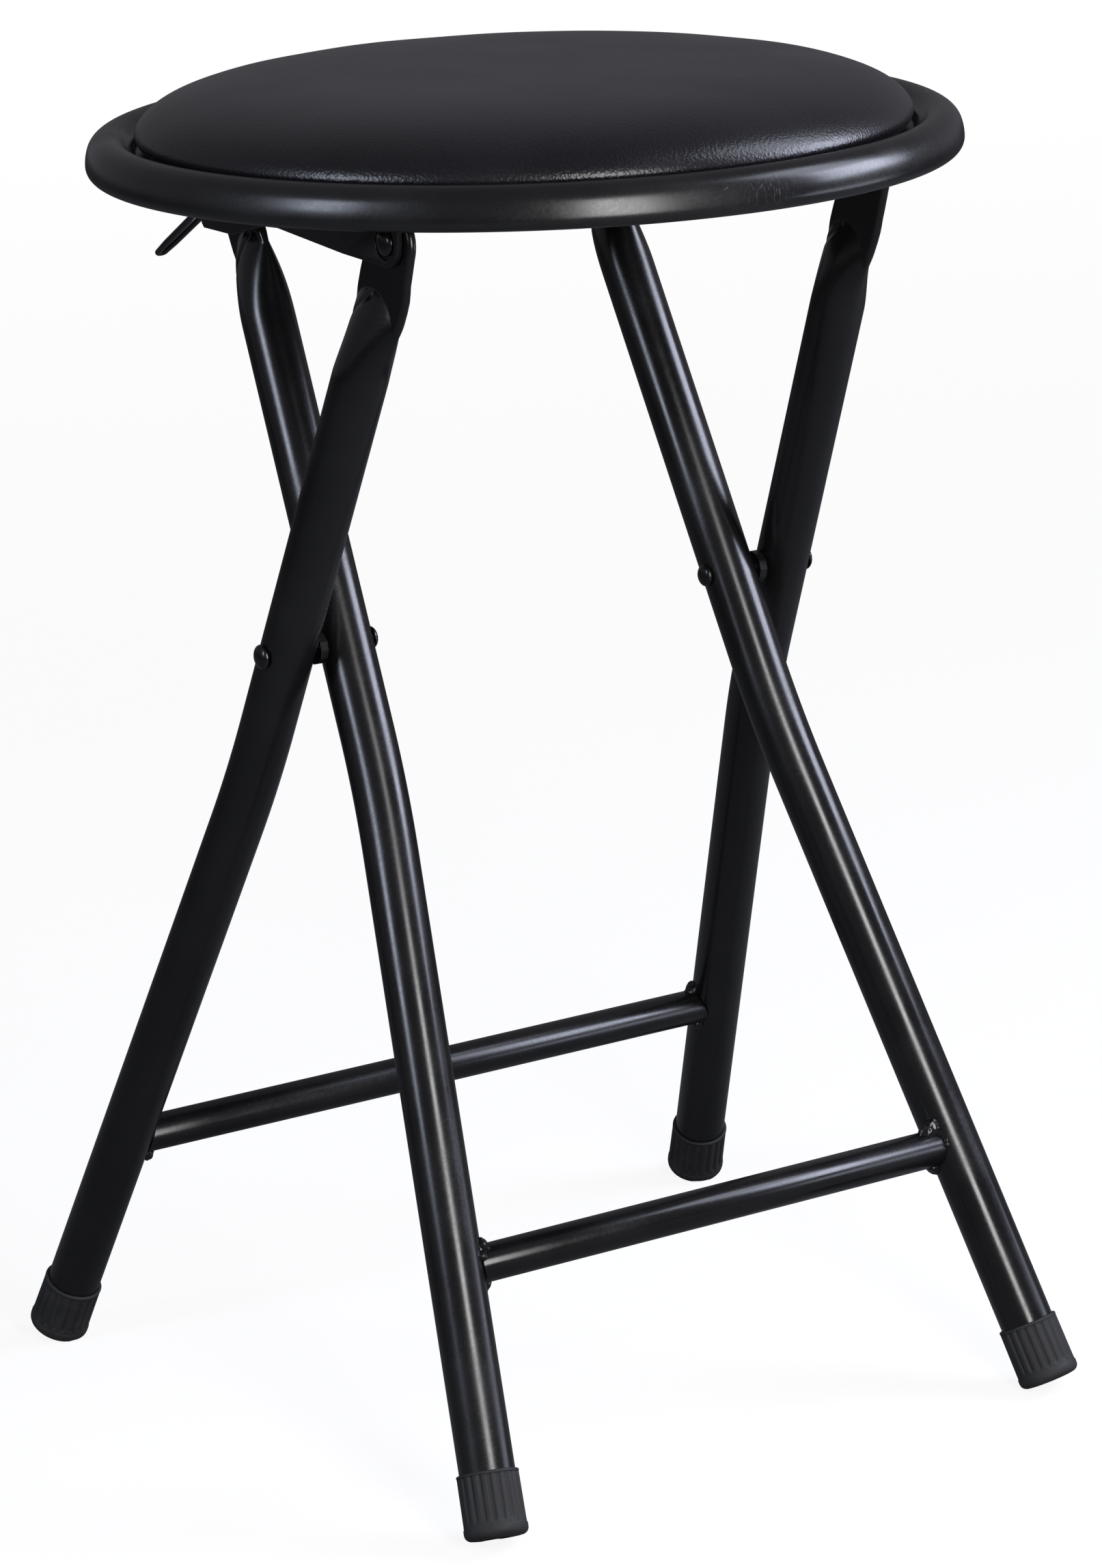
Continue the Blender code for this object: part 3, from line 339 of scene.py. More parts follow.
def leatherette():
    """Black vinyl with a pebble grain, painted shade darkening the creases between the pebbles, and pale
    dust specks.
    """
    made, tree, shader = graph("black_leatherette_grain_shaded_creases", (0.016, 0.016, 0.018), 0.5)
    place = object_place(tree)
    warp = add_node(tree, "ShaderNodeTexNoise", Vector=place, Scale=500.0, Detail=2.0)
    push = add_node(tree, "ShaderNodeVectorMath", {"operation": "SCALE"})
    tree.links.new(warp.outputs["Color"], push.inputs[0])
    push.inputs["Scale"].default_value = 0.0007
    moved = add_node(tree, "ShaderNodeVectorMath", {"operation": "ADD"})
    tree.links.new(place, moved.inputs[0])
    tree.links.new(push.outputs["Vector"], moved.inputs[1])
    pebbles = add_node(tree, "ShaderNodeTexVoronoi", {"feature": "SMOOTH_F1"},
                       Vector=moved.outputs["Vector"], Scale=1000.0, Smoothness=0.35)
    grain = pebbles.outputs["Distance"]
    pores = noise_value(tree, 2600.0, 2.0)
    cloud = noise_value(tree, 22.0, 3.0)
    height = spread(tree, grain, 0.0, 0.75, 1.0, 0.0)
    rough = spread(tree, cloud, 0.3, 0.7, 0.29, 0.35)
    tree.links.new(rough, shader.inputs["Roughness"])
    # Painted shade: the creases between the pebbles are coloured darker than the pebble tops.
    tone = mix_colour(tree, height, (0.0030, 0.0028, 0.0040, 1.0), (0.0068, 0.0063, 0.0088, 1.0))
    tone = mix_colour(tree, spread(tree, cloud, 0.35, 0.75, 0.0, 0.3), tone, (0.013, 0.0125, 0.0155, 1.0))
    tone = mix_colour(tree, specks(tree, 210.0, 0.07, 0.02), tone, (0.22, 0.22, 0.23, 1.0))
    tree.links.new(tone, shader.inputs["Base Color"])
    shader.inputs["Specular IOR Level"].default_value = 0.5
    shader.inputs["Sheen Weight"].default_value = 0.01
    shader.inputs["Sheen Roughness"].default_value = 0.5
    bump(tree, shader, (height, 0.000075), (pores, 0.00002))
    return made


def rubber():
    """Dull black rubber with mould grain and a film of dust."""
    made, tree, shader = graph("black_rubber_moulded", (0.018, 0.018, 0.019), 0.72)
    fine = noise_value(tree, 1500.0, 3.0)
    cloud = noise_value(tree, 120.0, 4.0, 0.6)
    dust = spread(tree, cloud, 0.45, 0.8, 0.0, 0.5)
    tone = mix_colour(tree, dust, (0.016, 0.016, 0.017, 1.0), (0.045, 0.044, 0.044, 1.0))
    tone = mix_colour(tree, specks(tree, 330.0, 0.12, 0.06), tone, (0.3, 0.3, 0.3, 1.0))
    tree.links.new(tone, shader.inputs["Base Color"])
    tree.links.new(spread(tree, cloud, 0.3, 0.7, 0.6, 0.78), shader.inputs["Roughness"])
    bump(tree, shader, (cloud, 0.00005), (fine, 0.00003))
    return made


def plated_steel():
    """Zinc-plated steel with fine turning marks."""
    made, tree, shader = graph("bright_steel_plated", (0.56, 0.56, 0.58), 0.32)
    shader.inputs["Metallic"].default_value = 1.0
    marks = noise_value(tree, 1400.0, 3.0)
    cloud = noise_value(tree, 300.0, 2.0)
    tree.links.new(spread(tree, cloud, 0.3, 0.7, 0.24, 0.42), shader.inputs["Roughness"])
    tone = mix_colour(tree, cloud, (0.5, 0.5, 0.52, 1.0), (0.62, 0.61, 0.6, 1.0))
    tree.links.new(tone, shader.inputs["Base Color"])
    bump(tree, shader, (marks, 0.00002))
    return made


def plywood():
    """Plywood with long grain and layered edges."""
    made, tree, shader = graph("plywood_grain", (0.52, 0.36, 0.2), 0.7)
    stretch = add_node(tree, "ShaderNodeMapping", Vector=object_place(tree))
    stretch.inputs["Scale"].default_value = (1.0, 14.0, 40.0)
    grain = noise_value(tree, 30.0, 4.0, 0.6, stretch.outputs["Vector"])
    tree.links.new(ramp(tree, grain, [(0.3, (0.42, 0.27, 0.14)), (0.7, (0.6, 0.44, 0.27))]),
                   shader.inputs["Base Color"])
    bump(tree, shader, (grain, 0.0001))
    return made


GLOSS = painted_steel("gloss_black_powder", (0.0040, 0.0040, 0.0043), 0.23, 0.0000012, 0.015)
WELD = painted_steel("gloss_black_over_weld", (0.0045, 0.0045, 0.0048), 0.19, 0.00001, 0.0)
SATIN = painted_steel("satin_black_paint", (0.0055, 0.0055, 0.0058), 0.28, 0.000002, 0.03)
PAN = painted_steel("satin_black_pan", (0.0060, 0.0060, 0.0064), 0.27, 0.0000015, 0.05, SCUFFS, BLISTER)
LEATHER = leatherette()
RUBBER = rubber()
BRIGHT = plated_steel()
PLY = plywood()


def add_object(name, shape, finish, sharp=40.0):
    """Turn a bmesh into a named object at the origin, shaded smooth up to a sharp angle."""
    bmesh.ops.recalc_face_normals(shape, faces=shape.faces)
    mesh = bpy.data.meshes.new(name)
    shape.to_mesh(mesh)
    shape.free()
    mesh.materials.append(finish)
    mesh.shade_smooth()
    mesh.set_sharp_from_angle(angle=math.radians(sharp))
    item = bpy.data.objects.new(name, mesh)
    bpy.context.scene.collection.objects.link(item)
    return item


def put(item, body, finish_slot, *nodes):
    """Let a finished piece ride on a body and stand for CAD nodes."""
    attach(item, body)
    if nodes:
        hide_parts(*nodes)
    return item


def skin(rings):
    """Join rings of points with quads and cap both ends."""
    shape = bmesh.new()
    rows = [[shape.verts.new(point) for point in ring] for ring in rings]
    for first, second in zip(rows, rows[1:]):
        count = len(first)
        for index in range(count):
            after = (index + 1) % count
            shape.faces.new((first[index], first[after], second[after], second[index]))
    shape.faces.new(rows[0])
    shape.faces.new(rows[-1])
    return shape


def lathe(outline, segments):
    """Turn a closed (radius, height) outline about Z."""
    shape = bmesh.new()
    rows = []
    turn = [math.tau * index / segments for index in range(segments)]
    for radius, height in outline:
        if radius < 1e-6:
            rows.append([shape.verts.new((0.0, 0.0, height))] * segments)
        else:
            ring = [(radius * math.cos(a), radius * math.sin(a), height) for a in turn]
            rows.append([shape.verts.new(point) for point in ring])
    for first, second in zip(rows, rows[1:] + rows[:1]):
        for index in range(segments):
            after = (index + 1) % segments
            unique = list(dict.fromkeys([first[index], first[after], second[after], second[index]]))
            if len(unique) > 2:
                shape.faces.new(unique)
    return shape


def place_along_x(shape, centre):
    turn = Matrix.Rotation(math.radians(90.0), 4, "Y")
    bmesh.ops.transform(shape, matrix=Matrix.Translation(centre) @ turn, verts=shape.verts)
    return shape


def arc(centre, radius, start, end, steps):
    angles = [start + (end - start) * index / steps for index in range(steps + 1)]
    return [(centre[0] + radius * math.cos(a), centre[1] + radius * math.sin(a)) for a in angles]


def offset_path(path, distance):
    """Shift an open 2D path sideways by distance, to the right of its direction."""
    moved = []
    for index, point in enumerate(path):
        before = path[max(index - 1, 0)]
        after = path[min(index + 1, len(path) - 1)]
        along = Vector((after[0] - before[0], after[1] - before[1])).normalized()
        moved.append((point[0] + along.y * distance, point[1] - along.x * distance))
    return moved


def mirrored(points, side):
    return [Vector((side * point[0], point[1], point[2])) for point in points]


def blend(value):
    value = min(max(value, 0.0), 1.0)
    return value * value * (3.0 - 2.0 * value)


class LegPair:
    """One pair of legs in a plane through the crossing axis, as in the CAD."""

    def __init__(self, top_axis, half_spacing, upper_splay, lower_splay, tab_flat, arch, swell, dent):
        rise = top_axis[1] - CROSS_AXIS[1]
        reach = top_axis[0] - CROSS_AXIS[0]
        self.top_length = math.hypot(rise, reach)
        self.down = Vector((0.0, -reach / self.top_length, -rise / self.top_length))
        self.normal = Vector((1.0, 0.0, 0.0)).cross(self.down)
        self.half_spacing = half_spacing
        self.upper_splay = math.radians(upper_splay)
        self.lower_splay = math.radians(lower_splay)
        self.tab_flat = tab_flat
        self.arch = arch
        self.swell = swell
        self.dent = dent
        self.top_x = half_spacing - self.top_length * math.tan(self.upper_splay)
        self.tab_x = self.top_x + TAB_OFFSET
        self.knee = (CROSS_AXIS[1] - KNEE_HEIGHT) / -self.down.z
        self.knee_x = half_spacing + self.knee * math.tan(self.upper_splay)

    def at(self, x, along):
        return Vector((x, *CROSS_AXIS)) + self.down * along

    def lower_direction(self):
        return Vector((math.sin(self.lower_splay), 0.0, 0.0)) + self.down * math.cos(self.lower_splay)

    def lower_across(self):
        return Vector((math.cos(self.lower_splay), 0.0, 0.0)) - self.down * math.sin(self.lower_splay)

    def along_at_height(self, height):
        return (CROSS_AXIS[1] - height) / -self.down.z

    def leg_x(self, along):
        return self.knee_x + (along - self.knee) * math.tan(self.lower_splay)

    def foot_end(self):
        direction = self.lower_direction()
        sine = math.sqrt(1.0 - direction.z ** 2)
        reach = FOOT_RADIUS - FOOT_ROUNDING
        height = reach * sine + FOOT_ROUNDING * (1.0 + direction.z) - FOOT_FLAT_DEPTH
        along = self.along_at_height(height)
        return self.at(self.leg_x(along), along)

    def knee_path(self):
        turn = self.lower_splay - self.upper_splay
        tangent = KNEE_RADIUS * math.tan(turn / 2)
        start = Vector((self.knee_x, self.knee)) - Vector(
            (math.sin(self.upper_splay), math.cos(self.upper_splay))) * tangent
        centre = start + Vector((math.cos(self.upper_splay), -math.sin(self.upper_splay))) * KNEE_RADIUS
        for index in range(KNEE_STEPS + 1):
            angle = self.upper_splay + turn * index / KNEE_STEPS
            yield centre + Vector((-math.cos(angle), math.sin(angle))) * KNEE_RADIUS, angle


OUTER = LegPair(FRONT_AXIS, 102.4 * MM, 3.2, 8.3, 20.0 * MM, 6.3 * MM, 1.6,
                ((22.5 * MM, 4.0 * MM), (34.0 * MM, 10.2 * MM), 0.7 * MM))
INNER = LegPair(ROD_AXIS, 79.3 * MM, 2.5, 7.6, 11.5 * MM, 4.6 * MM, 2.0,
                ((13.5 * MM, -4.0 * MM), (26.0 * MM, 7.5 * MM), 1.0 * MM))


def tab_edge(width, half):
    """Half thickness of the pressed tab at a distance from its middle line."""
    past = (abs(width) - half + TAB_EDGE_ROUNDING) / TAB_EDGE_ROUNDING
    return TAB_HALF_THICKNESS * math.sqrt(max(1.0 - max(past, 0.0) ** 2, 0.0))


def tab_reach(pair, side, below, front):
    """Half width of the tab at a distance below its hinge; the outer tabs are wider than their tops."""
    share = blend((below - pair.tab_flat) / TAB_SWELL_LENGTH)
    if pair is INNER:
        return TAB_HALF_WIDTH + (LEG_RADIUS - TAB_HALF_WIDTH) * share
    wide = WIDE_TABS[side][0 if front else 1]
    if front:
        clear = TAB_UNDER_SEAT + TAB_FRONT_SLANT * min(max(below, 0.0), TAB_CORNER)
        wide = clear + (wide - clear) * blend((below - TAB_CORNER) / TAB_WIDENING_LENGTH)
    else:
        wide = TAB_HALF_WIDTH + (wide - TAB_HALF_WIDTH) * blend(below / TAB_WIDENING_LENGTH)
    return wide + (LEG_RADIUS - wide) * blend((below - TAB_NARROWING_START) / TAB_NARROWING_LENGTH)


def dent_depth(pair, below, width):
    """Depth of the slanting groove that the press leaves where the tube swells out of the tab."""
    (low, start), (high, end), depth = pair.dent
    line = Vector((high - low, end - start))
    share = Vector((below - low, width - start)).dot(line) / line.length_squared
    nearest = Vector((low, start)) + line * min(max(share, 0.0), 1.0)
    away = (Vector((below, width)) - nearest).length
    narrow = TAB_DENT_RADIUS * (1.0 - 0.45 * min(max(share, 0.0), 1.0))
    return depth * math.exp(-(away / narrow) ** 2)


def tab_ring_shares():
    """Places of the rings over the swelling: close together at the crease."""
    shares = [0.0, 0.006, 0.014, 0.025, 0.04]
    while shares[-1] < 0.75:
        shares.append(shares[-1] + 0.02)
    while shares[-1] < 0.96:
        shares.append(shares[-1] + 0.05)
    return shares + [1.0]


def make_leg(pair, side, name):
    """Bent tube with its top end pressed flat and an arched crease under the flat."""
    rings = []
    angles = [math.tau * (index + 0.5) / LEG_SIDES for index in range(LEG_SIDES)]

    def place(below, width, height):
        slope = blend((below - pair.tab_flat) / TAB_SWELL_LENGTH)
        along = -pair.top_length + below
        straight_x = pair.half_spacing + along * math.tan(pair.upper_splay)
        lean = pair.upper_splay * slope
        across = Vector((math.cos(lean), 0.0, 0.0)) - pair.down * math.sin(lean)
        x = pair.tab_x + (straight_x - pair.tab_x) * slope
        return pair.at(x, along) + pair.normal * width + across * height

    for degrees in (88, 80, 70, 60, 50, 40, 30, 20, 10):
        angle = math.radians(degrees)
        below = -TAB_HALF_WIDTH * math.sin(angle)
        ring = []
        for a in angles:
            half = tab_reach(pair, side, 0.0, math.cos(a) < 0.0)
            width = half * math.cos(angle) * math.cos(a)
            reach = math.hypot(width / half, math.sin(angle)) * half
            ring.append(place(below, width, math.copysign(tab_edge(reach, half), math.sin(a))))
        rings.append(mirrored(ring, side))
    step = TAB_STEP_HEIGHT if pair is OUTER and side < 0 else 0.0
    flats = [(share, 0.0) for share in TAB_FLAT_RINGS]
    for flat, share in flats + [(1.0, share) for share in tab_ring_shares()]:
        swell = 1.0 - (1.0 - share) ** pair.swell
        quick = 1.0 - math.exp(-share / TAB_STEP_SHARE)
        ring = []
        for a in angles:
            rise = step if math.sin(a) > 0.0 else 0.0
            crown = TAB_HALF_THICKNESS + rise * quick + (LEG_RADIUS - TAB_HALF_THICKNESS - rise) * swell
            crease = pair.tab_flat + pair.arch * math.cos(a) ** 2
            below = crease * flat + (pair.tab_flat + TAB_SWELL_LENGTH - crease) * share
            half = tab_reach(pair, side, below, math.cos(a) < 0.0)
            width = half * math.cos(a)
            height = max(crown * abs(math.sin(a)), tab_edge(width, half) * (1.0 - share))
            if flat == 1.0 and share < 0.9:
                height -= dent_depth(pair, below, width) * blend(share / 0.05) * abs(math.sin(a))
            ring.append(place(below, width, math.copysign(height, math.sin(a))))
        rings.append(mirrored(ring, side))
    for point, lean in pair.knee_path():
        across = Vector((math.cos(lean), 0.0, 0.0)) - pair.down * math.sin(lean)
        centre = pair.at(point.x, point.y)
        rings.append(mirrored([centre + (pair.normal * math.cos(a) + across * math.sin(a)) * LEG_RADIUS
                               for a in angles], side))
    end = pair.foot_end() - pair.lower_direction() * (FOOT_FLOOR + TOUCH_GAP)
    across = pair.lower_across()
    rings.append(mirrored([end + (pair.normal * math.cos(a) + across * math.sin(a)) * LEG_RADIUS
                           for a in angles], side))
    return add_object(name, skin(rings), GLOSS)


def foot_profile():
    """(height, radius) of the foot's outside, from the sole's edge to the rim."""
    body = FOOT_RADIUS
    rim = FOOT_RADIUS - FOOT_SWELL
    profile = []
    for degrees in (90, 72, 54, 36, 18, 0):
        angle = math.radians(degrees)
        inset = FOOT_ROUNDING * (1.0 - math.cos(angle))
        profile.append((FOOT_ROUNDING * (1.0 - math.sin(angle)), body - inset))
    profile += [(3.6 * MM, body), (3.8 * MM, body - 0.04 * MM), (4.2 * MM, body - FOOT_STEP)]
    low, high = GROOVE_LOW - 0.9 * MM, GROOVE_HIGH + 0.1 * MM
    for index in range(GROOVE_RINGS + 1):
        share = index / GROOVE_RINGS
        share = share + 0.6 * math.sin(share * math.tau) / math.tau
        height = low + (high - low) * share
        profile.append((height, body - FOOT_STEP + (rim - body + 0.16 * MM) * (height - low) / (high - low)))
    profile += [(GROOVE_HIGH + 0.2 * MM, rim), (FOOT_LENGTH - 0.4 * MM, rim)]
    profile += [(FOOT_LENGTH - 0.1 * MM, rim - 0.2 * MM), (FOOT_LENGTH, rim - 0.5 * MM)]
    profile += [(FOOT_LENGTH, LEG_RADIUS + 0.12 * MM), (FOOT_LENGTH - 1.2 * MM, LEG_RADIUS - 0.4 * MM)]
    return profile


def make_foot(pair, side, name):
    """Grooved rubber ferrule, worn flat where it stands."""
    direction = pair.lower_direction()
    across = pair.lower_across()
    end = pair.foot_end()
    sides = GROOVES * GROOVE_POINTS
    rings = []
    for height, radius in foot_profile():
        ring = []
        for index in range(sides):
            angle = math.tau * index / sides
            cell = (index % GROOVE_POINTS) / GROOVE_POINTS
            sideways = (cell - 0.5) * math.tau * FOOT_RADIUS / GROOVES
            past = max(GROOVE_LOW + GROOVE_HALF_WIDTH - height, 0.0)
            away = math.hypot(sideways, past)
            cut = blend(1.0 - (away - GROOVE_HALF_WIDTH * 0.55) / (GROOVE_HALF_WIDTH * 0.75))
            inside = GROOVE_LOW - GROOVE_HALF_WIDTH < height < GROOVE_HIGH + 0.15 * MM
            spoke = pair.normal * math.cos(angle) + across * math.sin(angle)
            point = end - direction * height + spoke * (radius - GROOVE_DEPTH * cut * inside)
            point.z = max(point.z, 0.0)
            ring.append(point)
        rings.append(mirrored(ring, side))
    return add_object(name, skin(rings), RUBBER, 55.0)


def bar_end(pair, spoke, radius, gap):
    """How far from the middle a line along the crossbar, at a radius, comes within gap of the leg."""
    along = pair.along_at_height(BAR_HEIGHT)
    start = pair.at(0.0, along) + spoke * radius
    axis_point = pair.at(pair.leg_x(along), along)
    direction = pair.lower_direction()
    low, high = 0.0, pair.leg_x(along)
    for _ in range(30):
        middle = (low + high) / 2
        away = start + Vector((middle, 0.0, 0.0)) - axis_point
        if (away - direction * away.dot(direction)).length > LEG_RADIUS + gap:
            low = middle
        else:
            high = middle
    return low


def make_crossbar(pair, name):
    """Tube between the legs, its ends cut to the legs' curve a little short of them."""
    centre = pair.at(0.0, pair.along_at_height(BAR_HEIGHT))
    angles = [math.tau * index / BAR_SIDES for index in range(BAR_SIDES)]
    spokes = [Vector((0.0, math.cos(a), math.sin(a))) for a in angles]
    rings = []
    for end in (-1.0, 1.0):
        rim = []
        for radius, back in ((BAR_RADIUS * 0.7, 0.3 * MM), (BAR_RADIUS - 0.45 * MM, 0.0),
                             (BAR_RADIUS - 0.12 * MM, 0.08 * MM), (BAR_RADIUS, 0.4 * MM)):
            ring = []
            for spoke in spokes:
                x = bar_end(pair, spoke, radius, BAR_END_GAP) - back
                ring.append(centre + spoke * radius + Vector((x * end, 0.0, 0.0)))
            rim.append(ring)
        rings += rim if end < 0.0 else rim[::-1]
    return add_object(name, skin(rings), GLOSS)


def weld_web(pair, side, name, turn, size, seed):
    """Lump of weld in the corner between crossbar and leg; turn is round the bar, 0 rear and 90 up."""
    angle = math.radians(turn)
    spoke = Vector((0.0, math.cos(angle), math.sin(angle)))
    corner = pair.at(0.0, pair.along_at_height(BAR_HEIGHT)) + spoke * BAR_RADIUS
    corner.x = bar_end(pair, spoke, BAR_RADIUS, 0.0)
    inward = Vector((-1.0, 0.0, 0.0))
    across = inward.cross(spoke)
    steps, rows = 56, 40
    rings = []
    for row in range(1, rows):
        lean = math.pi * row / rows - math.pi / 2
        ring = []
        for step in range(steps):
            around = math.tau * step / steps
            c, s = math.cos(around), math.sin(around)
            reach = (abs(c) ** WELD_POWER + abs(s) ** WELD_POWER) ** (-1.0 / WELD_POWER)
            reach *= math.cos(lean) ** 0.8
            local = inward * c * reach * size[0] + spoke * s * reach * size[1]
            local += across * math.sin(lean) * size[2]
            point = corner + local
            swirl = noise.noise(point * 330.0 + Vector((seed, 0.0, 0.0)))
            fine = noise.noise(point * 900.0 + Vector((0.0, seed, 0.0)))
            ring.append(point + local.normalized() * (swirl * 0.7 + fine * 0.22) * MM)
        rings.append(mirrored(ring, side))
    return add_object(name, skin(rings), WELD, 60.0)


def rim_path():
    """Rolled rim's section: round crown, nearly upright outer wall, tight turn and hem."""
    shoulder = math.radians(RIM_SHOULDER_DEGREES)
    sine, cosine = math.sin(shoulder), math.cos(shoulder)
    wall_radius = (RIM_BEAD_RADIUS * (1.0 + sine) - RIM_EDGE_RADIUS) / sine
    crown_x = SEAT_RADIUS - RIM_BEAD_RADIUS * cosine - wall_radius * (1.0 - cosine)
    wall_x = SEAT_RADIUS - wall_radius
    wall_z = RIM_HEIGHT - RIM_BEAD_RADIUS + RIM_EDGE_RADIUS
    path = arc((crown_x, RIM_HEIGHT), RIM_BEAD_RADIUS, math.radians(135.0), shoulder, 26)
    path += arc((wall_x, wall_z), wall_radius, shoulder, 0.0, 12)[1:]
    edge = (SEAT_RADIUS - RIM_EDGE_RADIUS, wall_z)
    path += arc(edge, RIM_EDGE_RADIUS, 0.0, math.radians(-100.0), 12)[1:]
    return path + [RIM_HEM]


def pan_path():
    """Upper face of the pan's section, from its centre out and round the rolled rim."""
    lip = RIM_HEIGHT + RIM_BEAD_RADIUS - PAN_LIP_DROP
    corner = (RECESS_RADIUS - PAN_FILLET, RECESS_FLOOR + PAN_FILLET)
    path = [(0.0, RECESS_FLOOR), (RECESS_RADIUS * 0.5, RECESS_FLOOR), (RECESS_RADIUS * 0.9, RECESS_FLOOR)]
    path += arc(corner, PAN_FILLET, -math.pi / 2, 0.0, 6)
    path += [(RECESS_RADIUS + PAN_LIP_WIDTH * 0.2, lip - PAN_LIP_WIDTH * 0.5)]
    path += [(RECESS_RADIUS + PAN_LIP_WIDTH * 0.5, lip - PAN_LIP_WIDTH * 0.16)]
    path += [(RECESS_RADIUS + PAN_LIP_WIDTH, lip)]
    return path + rim_path()


def make_pan():
    top = pan_path()
    under = offset_path(top, PAN_THICKNESS)
    under[0] = (0.0, RECESS_FLOOR - PAN_THICKNESS)
    return add_object("seat_pan_sheet", lathe(top + under[::-1], PAN_SEGMENTS), PAN, 35.0)


def crown_height(radius):
    """Height of the finished cushion's top over the widest line, at a distance from its centre."""
    share = min(radius / CUSHION_RADIUS, 1.0)
    return CUSHION_CROWN * (1.0 - share ** CUSHION_FLATNESS) ** (1.0 / CUSHION_SHOULDER)


def cushion_outline(shrink):
    """(radius, height) outline of the closed cushion, drawn in at the foot."""
    base = RECESS_FLOOR + TOUCH_GAP
    foot = CUSHION_RADIUS - CUSHION_FOOT_INSET - shrink
    outline = [(0.0, base), (foot * 0.5, base), (foot - CUSHION_FOOT_ROUNDING, base)]
    outline += [(foot, base + CUSHION_FOOT_ROUNDING)]
    outline += [(CUSHION_RADIUS - CUSHION_FOOT_INSET * 0.3 - shrink, base + CUSHION_FOOT_RISE)]
    for index in range(CUSHION_RINGS + 1):
        share = math.cos(math.radians(90.0) * index / CUSHION_RINGS)
        reach = share ** (0.35 + 0.65 * index / CUSHION_RINGS) if index < CUSHION_RINGS else 0.0
        rise = crown_height(CUSHION_RADIUS * reach) * (1.0 - shrink / CUSHION_CROWN)
        outline.append(((CUSHION_RADIUS - shrink) * reach, CUSHION_WIDEST + rise))
    return outline


def inflate(item):
    """Swell a closed piece with the cloth solver, its foot pinned; return start and moved points."""
    before = np.array([vertex.co for vertex in item.data.vertices])
    held = item.vertex_groups.new(name="held")
    held.add([v.index for v in item.data.vertices if v.co.z < RECESS_FLOOR + PROBE_HELD], 1.0, "REPLACE")
    cloth = item.modifiers.new("cloth", "CLOTH")
    settings = cloth.settings
    settings.use_pressure = True
    settings.uniform_pressure_force = PROBE_PRESSURE
    settings.effector_weights.gravity = 0.0
    settings.vertex_group_mass = "held"
    settings.quality = 6
    settings.tension_stiffness = 40.0
    settings.compression_stiffness = 40.0
    settings.bending_stiffness = 1.2
    cloth.collision_settings.use_collision = False
    cloth.point_cache.frame_start = 1
    cloth.point_cache.frame_end = PROBE_FRAMES
    for number in range(1, PROBE_FRAMES + 1):
        bpy.context.scene.frame_set(number)
    graph_now = bpy.context.evaluated_depsgraph_get()
    swollen = bpy.data.meshes.new_from_object(item.evaluated_get(graph_now))
    after = np.array([vertex.co for vertex in swollen.vertices])
    item.modifiers.clear()
    bpy.data.meshes.remove(swollen)
    bpy.context.scene.frame_set(1)
    step = after - before
    length = np.linalg.norm(step, axis=1, keepdims=True)
    return before, before + step * np.minimum(1.0, PROBE_MOST / np.maximum(length, 1e-9))


def unevenness(before, after):
    """How far each point rose more than the others at its distance from the middle."""
    reach = np.hypot(before[:, 0], before[:, 1])
    rise = after[:, 2] - before[:, 2]
    upper = before[:, 2] > CUSHION_WIDEST
    band = np.minimum((reach / BAND_WIDTH).astype(int), BANDS - 1)
    extra = np.zeros(len(before))
    for index in range(BANDS):
        chosen = upper & (band == index)
        if chosen.sum() > 3:
            extra[chosen] = rise[chosen] - rise[chosen].mean()
    return before[upper], extra[upper]


def settle(item, places, extra):
    """Lay the smoothed unevenness over the crown of the finished cushion."""
    tree = KDTree(len(places))
    for index, place in enumerate(places):
        tree.insert(place, index)
    tree.balance()
    for vertex in item.data.vertices:
        if vertex.co.z <= CUSHION_WIDEST:
            continue
        found = tree.find_range(vertex.co, SMOOTHING_RANGE)
        if not found:
            continue
        weights = [math.exp(-(distance / SMOOTHING_RADIUS) ** 2) for _, _, distance in found]
        mean = sum(w * extra[index] for w, (_, index, _) in zip(weights, found)) / sum(weights)
        fade = blend((vertex.co.z - CUSHION_WIDEST) / UNEVEN_FADE)
        vertex.co.z += max(UNEVEN_LOWEST, min(UNEVEN_HIGHEST, mean * UNEVEN_SHARE)) * fade


def make_cushion():
    """Padded cover: a swollen copy from the cloth solver gives the crown its unevenness."""
    cushion = add_object("seat_cushion", lathe(cushion_outline(0.0), CUSHION_SEGMENTS), LEATHER)
    probe = add_object("cushion_probe", lathe(cushion_outline(PROBE_SHRINK), PROBE_SEGMENTS), LEATHER)
    remesh = probe.modifiers.new("remesh", "REMESH")
    remesh.mode = "VOXEL"
    remesh.voxel_size = PROBE_VOXEL
    graph_now = bpy.context.evaluated_depsgraph_get()
    mesh = bpy.data.meshes.new_from_object(probe.evaluated_get(graph_now))
    probe.modifiers.clear()
    probe.data = mesh
    settle(cushion, *unevenness(*inflate(probe)))
    bpy.data.objects.remove(probe)
    smooth = cushion.modifiers.new("smooth", "SUBSURF")
    smooth.levels = 1
    smooth.render_levels = 1
    return cushion


def dome(radius, height, steps):
    """(radius, height) points of a rivet head from its rim to its middle."""
    points = []
    for index in range(steps + 1):
        angle = math.radians(90.0) * index / steps
        points.append((radius * math.cos(angle) ** 0.8 if index < steps else 0.0, height * math.sin(angle)))
    return points


def make_rivet(name, x_low, x_high, shank, low_head, high_head, axis):
    """Rivet along X with two upset heads."""
    length = x_high - x_low
    low = [(r, -z) for r, z in dome(low_head, RIVET_HEAD_HEIGHT, 8)][::-1]
    high = [(r, length + z) for r, z in dome(high_head, RIVET_HEAD_HEIGHT, 8)]
    outline = low + [(shank, 0.0), (shank, length)] + high
    return add_object(name, place_along_x(lathe(outline, 40), (x_low, *axis)), GLOSS, 50.0)


